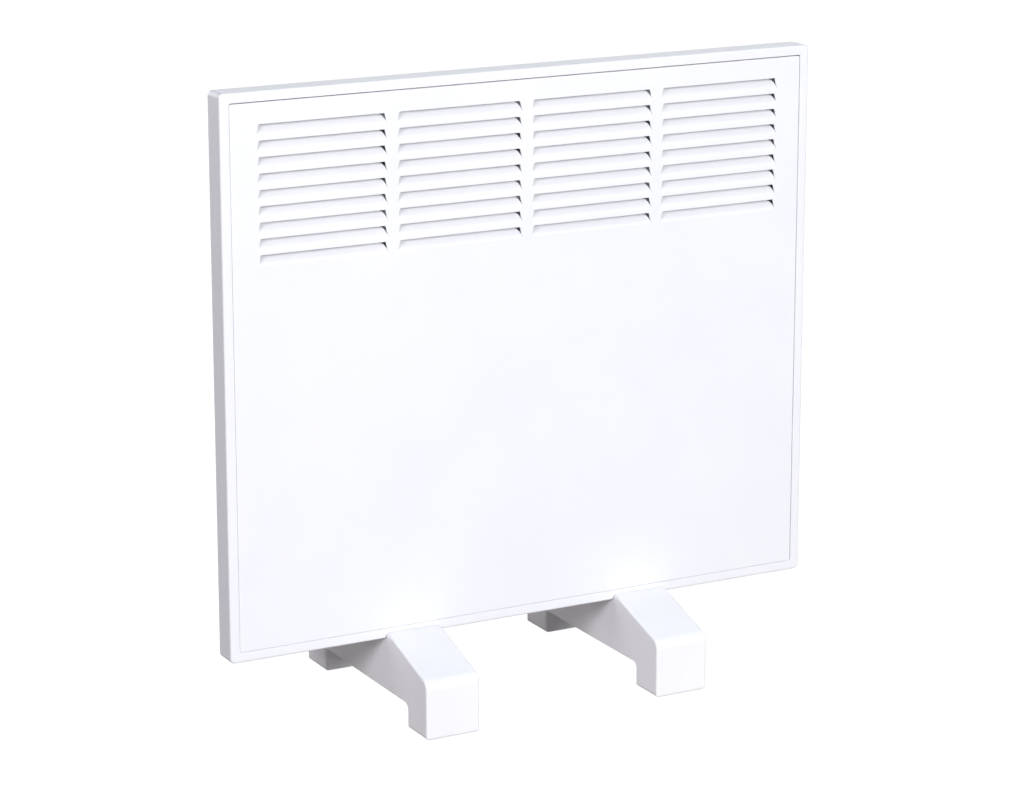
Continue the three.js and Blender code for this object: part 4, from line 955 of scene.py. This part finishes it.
def switch_rocker():
    """A dished rocker that rests off, its upper half pressed in, with its two marks."""
    length, crown, drop, half = 7.6, 4.2, 4.0, 5.2
    lip, shoulder = 0.5, 0.15
    pin, pin_reach = 1.2, 6.2
    tilt = math.radians(-8)
    # the dish is lowest in the middle: a share of the crown's height, by how far out a place is
    base, rise, power = 0.6, 0.4, 1.6

    def dish(share):
        return crown * (base + rise * share ** power)

    steps = 12
    top = [(crown - lip, -length), (crown - shoulder, -length + shoulder), (crown, -length + lip)]
    for i in range(1, steps):
        share = -1 + 2 * i / steps
        top.append((dish(abs(share)), share * (length - lip)))
    top += [(crown, length - lip), (crown - shoulder, length - shoulder), (crown - lip, length)]
    profile = [(-drop, -drop), (crown * 0.2, -length), *top, (crown * 0.2, length), (-drop, drop)]

    side = ((0, 0.35), (0.1, 0.1), (0.35, 0))
    slices = [(-half + d, inset) for d, inset in side]
    slices += [(half - d, inset) for d, inset in reversed(side)]
    rings = []
    for y, inset in slices:
        shrunk = 1 - inset / length
        rings.append([(x - inset if x > crown * 0.3 else x, y, z * shrunk) for x, z in profile])
    place = Matrix.Translation(Vector((ROCKER_X, CONTROL_Y, SWITCH_Z)) * MM) @ Matrix.Rotation(tilt, 4, "Y")
    made = piece("rocker_moulding", *stacked(rings), "white_plastic", ["switch_rocker"], "rocker")
    made.data.transform(place)
    done(made)
    pivot = turned([(pin, -pin_reach), (pin, pin_reach)], 24, "Y")
    pins = piece("rocker_pivot", *pivot, "white_plastic", (), "rocker")
    pins.data.transform(place)
    done(pins)

    # a bar and a ring, each printed as a thin skin that is sunk a little into the rocker
    sunk, sides = -0.15, 28
    bar = [(-0.25, -1.3), (0.25, -1.3), (0.25, 1.3), (-0.25, 1.3)]
    outer, inner = circle(1.5, sides), circle(1.05, sides)
    levels = ((outer, sunk), (outer, PRINT_PROUD), (inner, PRINT_PROUD), (inner, sunk))
    bar_skin = stacked([[(d, y, z) for y, z in bar] for d in (sunk, PRINT_PROUD)])
    ring_skin = stacked([[(d, y, z) for y, z in loop] for loop, d in levels], closed_stack=True)
    share = MARK_Z / (length - lip)
    slope = math.atan(crown * rise * power * share ** (power - 1) / (length - lip))
    for name, z, skin in (("on", -MARK_Z, bar_skin), ("off", MARK_Z, ring_skin)):
        mark = piece(f"rocker_mark_{name}", *skin, "black_plastic", (), "rocker", material=INK)
        lean = Matrix.Rotation(math.copysign(slope, z), 4, "Y")
        mark.data.transform(place @ Matrix.Translation(Vector((dish(share), 0, z)) * MM) @ lean)
        done(mark)


def indicator():
    """A domed lens with stepped rings."""
    profile = [(0, -8), (2.9, -8), (3.4, -7.5), (3.4, 0)]
    profile += [(4.3, 0), (4.4, 0.15), (4.4, 0.5), (4.1, 0.8), (3.6, 0.9), (3.3, 1.25), (2.7, 1.5)]
    profile += [(2.4, 1.45), (2.2, 1.7), (1.6, 1.85), (1.4, 1.8), (1.2, 1.95), (0, 2)]
    skin = turned(profile, 40, "X", (FASCIA_X + SEAT, CONTROL_Y, LENS_Z))
    return done(piece("lens_moulding", *skin, "amber_lens", ["indicator_lens"], crease=28))


def cable_gland():
    """A bushing with a flexible ribbed nose."""
    start = CASING_X - STEEL - SEAT
    groove = STEEL + 2 * SEAT
    flange, ribs, end = groove + 3, groove + 3.4, groove + 14
    rib, pitch, taper, depth = 7.9, 2.4, 0.42, 1.3
    profile = [(4.5, -8), (5.2, -8), (9.7, -3), (9.7, -0.4), (9.3, 0), (7.5, 0), (7.5, groove)]
    profile += [(10.6, groove), (11, groove + 0.4), (11, groove + 2.4), (10.4, flange), (8.1, flange)]
    for k in range(4):
        at = ribs + pitch * k
        r = rib - taper * k
        profile += [(r, at), (r, at + 1.3), (r - depth, at + 1.5), (r - depth, at + 2.2)]
    profile += [(6, end - 0.4), (5.7, end), (4.7, end), (4.5, end - 0.2)]
    rings = []
    for radius, along in profile:
        rings.append([(start + along, CONTROL_Y + a, GLAND_Z + b) for a, b in circle(radius, 32)])
    made = piece("gland_moulding", *stacked(rings, closed_stack=True), "black_plastic", ["cable_gland"])
    return done(made)


def dial_ticks():
    """Fine ticks round the knob with a longer one at each number; the top is left free."""
    points, faces = [], []
    steps, per_number, free = 25, 5, 14
    inner = 16.5
    for k in range(steps + 1):
        degrees = DIAL_START + DIAL_SWEEP * k / steps
        if abs(degrees) < free:
            continue
        angle = math.radians(degrees)
        outer, wide = (18.0, 0.22) if k % per_number == 0 else (17.3, 0.12)
        corners = []
        for x in (FASCIA_X - 0.1, FASCIA_X + PRINT_PROUD):
            for r, w in ((inner, -wide), (outer, -wide), (outer, wide), (inner, wide)):
                y = CONTROL_Y + r * math.sin(angle) + w * math.cos(angle)
                z = KNOB_Z + r * math.cos(angle) - w * math.sin(angle)
                corners.append((x, y, z))
        sides = ((0, 1, 2, 3), (4, 7, 6, 5), (0, 4, 5, 1), (1, 5, 6, 2), (2, 6, 7, 3), (3, 7, 4, 0))
        add_skin(points, faces, corners, sides)
    done(piece("dial_ticks", points, faces, "black_plastic", material=INK))


def dial_numbers():
    """Plain numbers outside the ticks."""
    count, size, thickness = 6, 2.9, 0.06
    # turns upright lettering to face along X
    facing = Matrix(((0, 0, 1, 0), (1, 0, 0, 0), (0, 1, 0, 0), (0, 0, 0, 1)))
    for k in range(count):
        angle = math.radians(DIAL_START + DIAL_SWEEP / (count - 1) * k)
        curve = bpy.data.curves.new("digit", "FONT")
        curve.body = str(k + 1)
        curve.size = size * MM
        curve.extrude = thickness * MM
        curve.align_x, curve.align_y = "CENTER", "CENTER"
        text = bpy.data.objects.new("digit", curve)
        bpy.context.scene.collection.objects.link(text)
        bpy.context.view_layer.update()
        mesh = bpy.data.meshes.new_from_object(text.evaluated_get(bpy.context.evaluated_depsgraph_get()))
        bpy.data.objects.remove(text)
        y, z = CONTROL_Y + NUMBER_RADIUS * math.sin(angle), KNOB_Z + NUMBER_RADIUS * math.cos(angle)
        mesh.transform(Matrix.Translation(Vector((FASCIA_X, y, z)) * MM) @ facing)
        points = [v.co / MM for v in mesh.vertices]
        faces = [tuple(p.vertices) for p in mesh.polygons]
        done(piece(f"dial_number_{k + 1}", points, faces, "black_plastic", material=INK))


# ---- Room, lights and camera ----
def studio_floor():
    """A pale floor that the camera sees mostly as an even white ground."""
    ground = Finish("pale_floor", specular_ior_level=0.1)
    drift = ground.noise(400, 2)
    ground.set("Base Color", ground.blend(drift, FLOOR_DARK, FLOOR_LIGHT))
    ground.set("Roughness", 0.8 + 0.1 * ground.noise(20, 2))
    ground.set("Emission Color", (0.98, 0.95, 1, 1))
    ground.set("Emission Strength", FLOOR_GLOW)
    seen = ground.node("ShaderNodeLightPath", out="Is Camera Ray")
    glow = ground.node("ShaderNodeEmission", {}, {"Strength": BACKDROP})
    output = ground.nodes["Material Output"]
    lit = Shade(ground, ground.shader.outputs[0])
    mixed = ground.node("ShaderNodeMixShader", {}, {0: seen * BACKDROP_SHARE, 1: lit, 2: glow})
    ground.plug(output.inputs[0], mixed)
    mesh = bpy.data.meshes.new("floor")
    corners = [(-1, -1), (1, -1), (1, 1), (-1, 1)]
    points = [(x * FLOOR_HALF, y * FLOOR_HALF, FLOOR_Z) for x, y in corners]
    mesh.from_pydata(points, [], [(0, 1, 2, 3)])
    mesh.materials.append(ground.material)
    floor = bpy.data.objects.new("floor", mesh)
    bpy.context.scene.collection.objects.link(floor)


def sky():
    """A white backdrop for the camera, and a faint even light for the object."""
    world = bpy.data.worlds.new("studio")
    tree = Tree(world)
    seen = tree.node("ShaderNodeLightPath", out="Is Camera Ray")
    strength = tree.node("ShaderNodeMapRange", {}, {"Value": seen, "To Min": SKY, "To Max": 1.0})
    background = tree.nodes["Background"]
    tree.plug(background.inputs["Strength"], strength)
    tree.plug(background.inputs["Color"], (1, 1, 1, 1))
    bpy.context.scene.world = world


def lamps():
    for name, place, aim, side, power, colour in LIGHTS:
        light = bpy.data.lights.new(name, "AREA")
        light.shape, light.size, light.energy, light.color = "SQUARE", side, power, colour
        lamp = bpy.data.objects.new(name, light)
        lamp.location = place
        lamp.visible_camera = False
        lamp.rotation_mode = "QUATERNION"
        lamp.rotation_quaternion = (Vector(aim) - Vector(place)).to_track_quat("-Z", "Y")
        bpy.context.scene.collection.objects.link(lamp)


def camera():
    lens = bpy.data.cameras.new("camera")
    lens.sensor_width = SENSOR_WIDTH
    lens.lens = FOCAL_LENGTH / PHOTO_WIDTH * SENSOR_WIDTH
    lens.shift_y = CAMERA_SHIFT
    lens.clip_end = 100
    made = bpy.data.objects.new("camera", lens)
    made.location = CAMERA_PLACE
    yaw, pitch = math.radians(CAMERA_YAW), math.radians(CAMERA_PITCH)
    level = math.cos(pitch)
    forward = Vector((math.sin(yaw) * level, math.cos(yaw) * level, -math.sin(pitch)))
    made.rotation_mode = "QUATERNION"
    made.rotation_quaternion = forward.to_track_quat("-Z", "Y")
    bpy.context.scene.collection.objects.link(made)
    bpy.context.scene.camera = made
    bpy.context.scene.view_settings.view_transform = "Standard"


camera()
studio_floor()
sky()
lamps()
front_frame()
front_panel()
rear_casing()
foot("left", -1)
foot("right", 1)
screws()
control_fascia()
thermostat_knob()
switch()
switch_rocker()
indicator()
cable_gland()
dial_ticks()
dial_numbers()
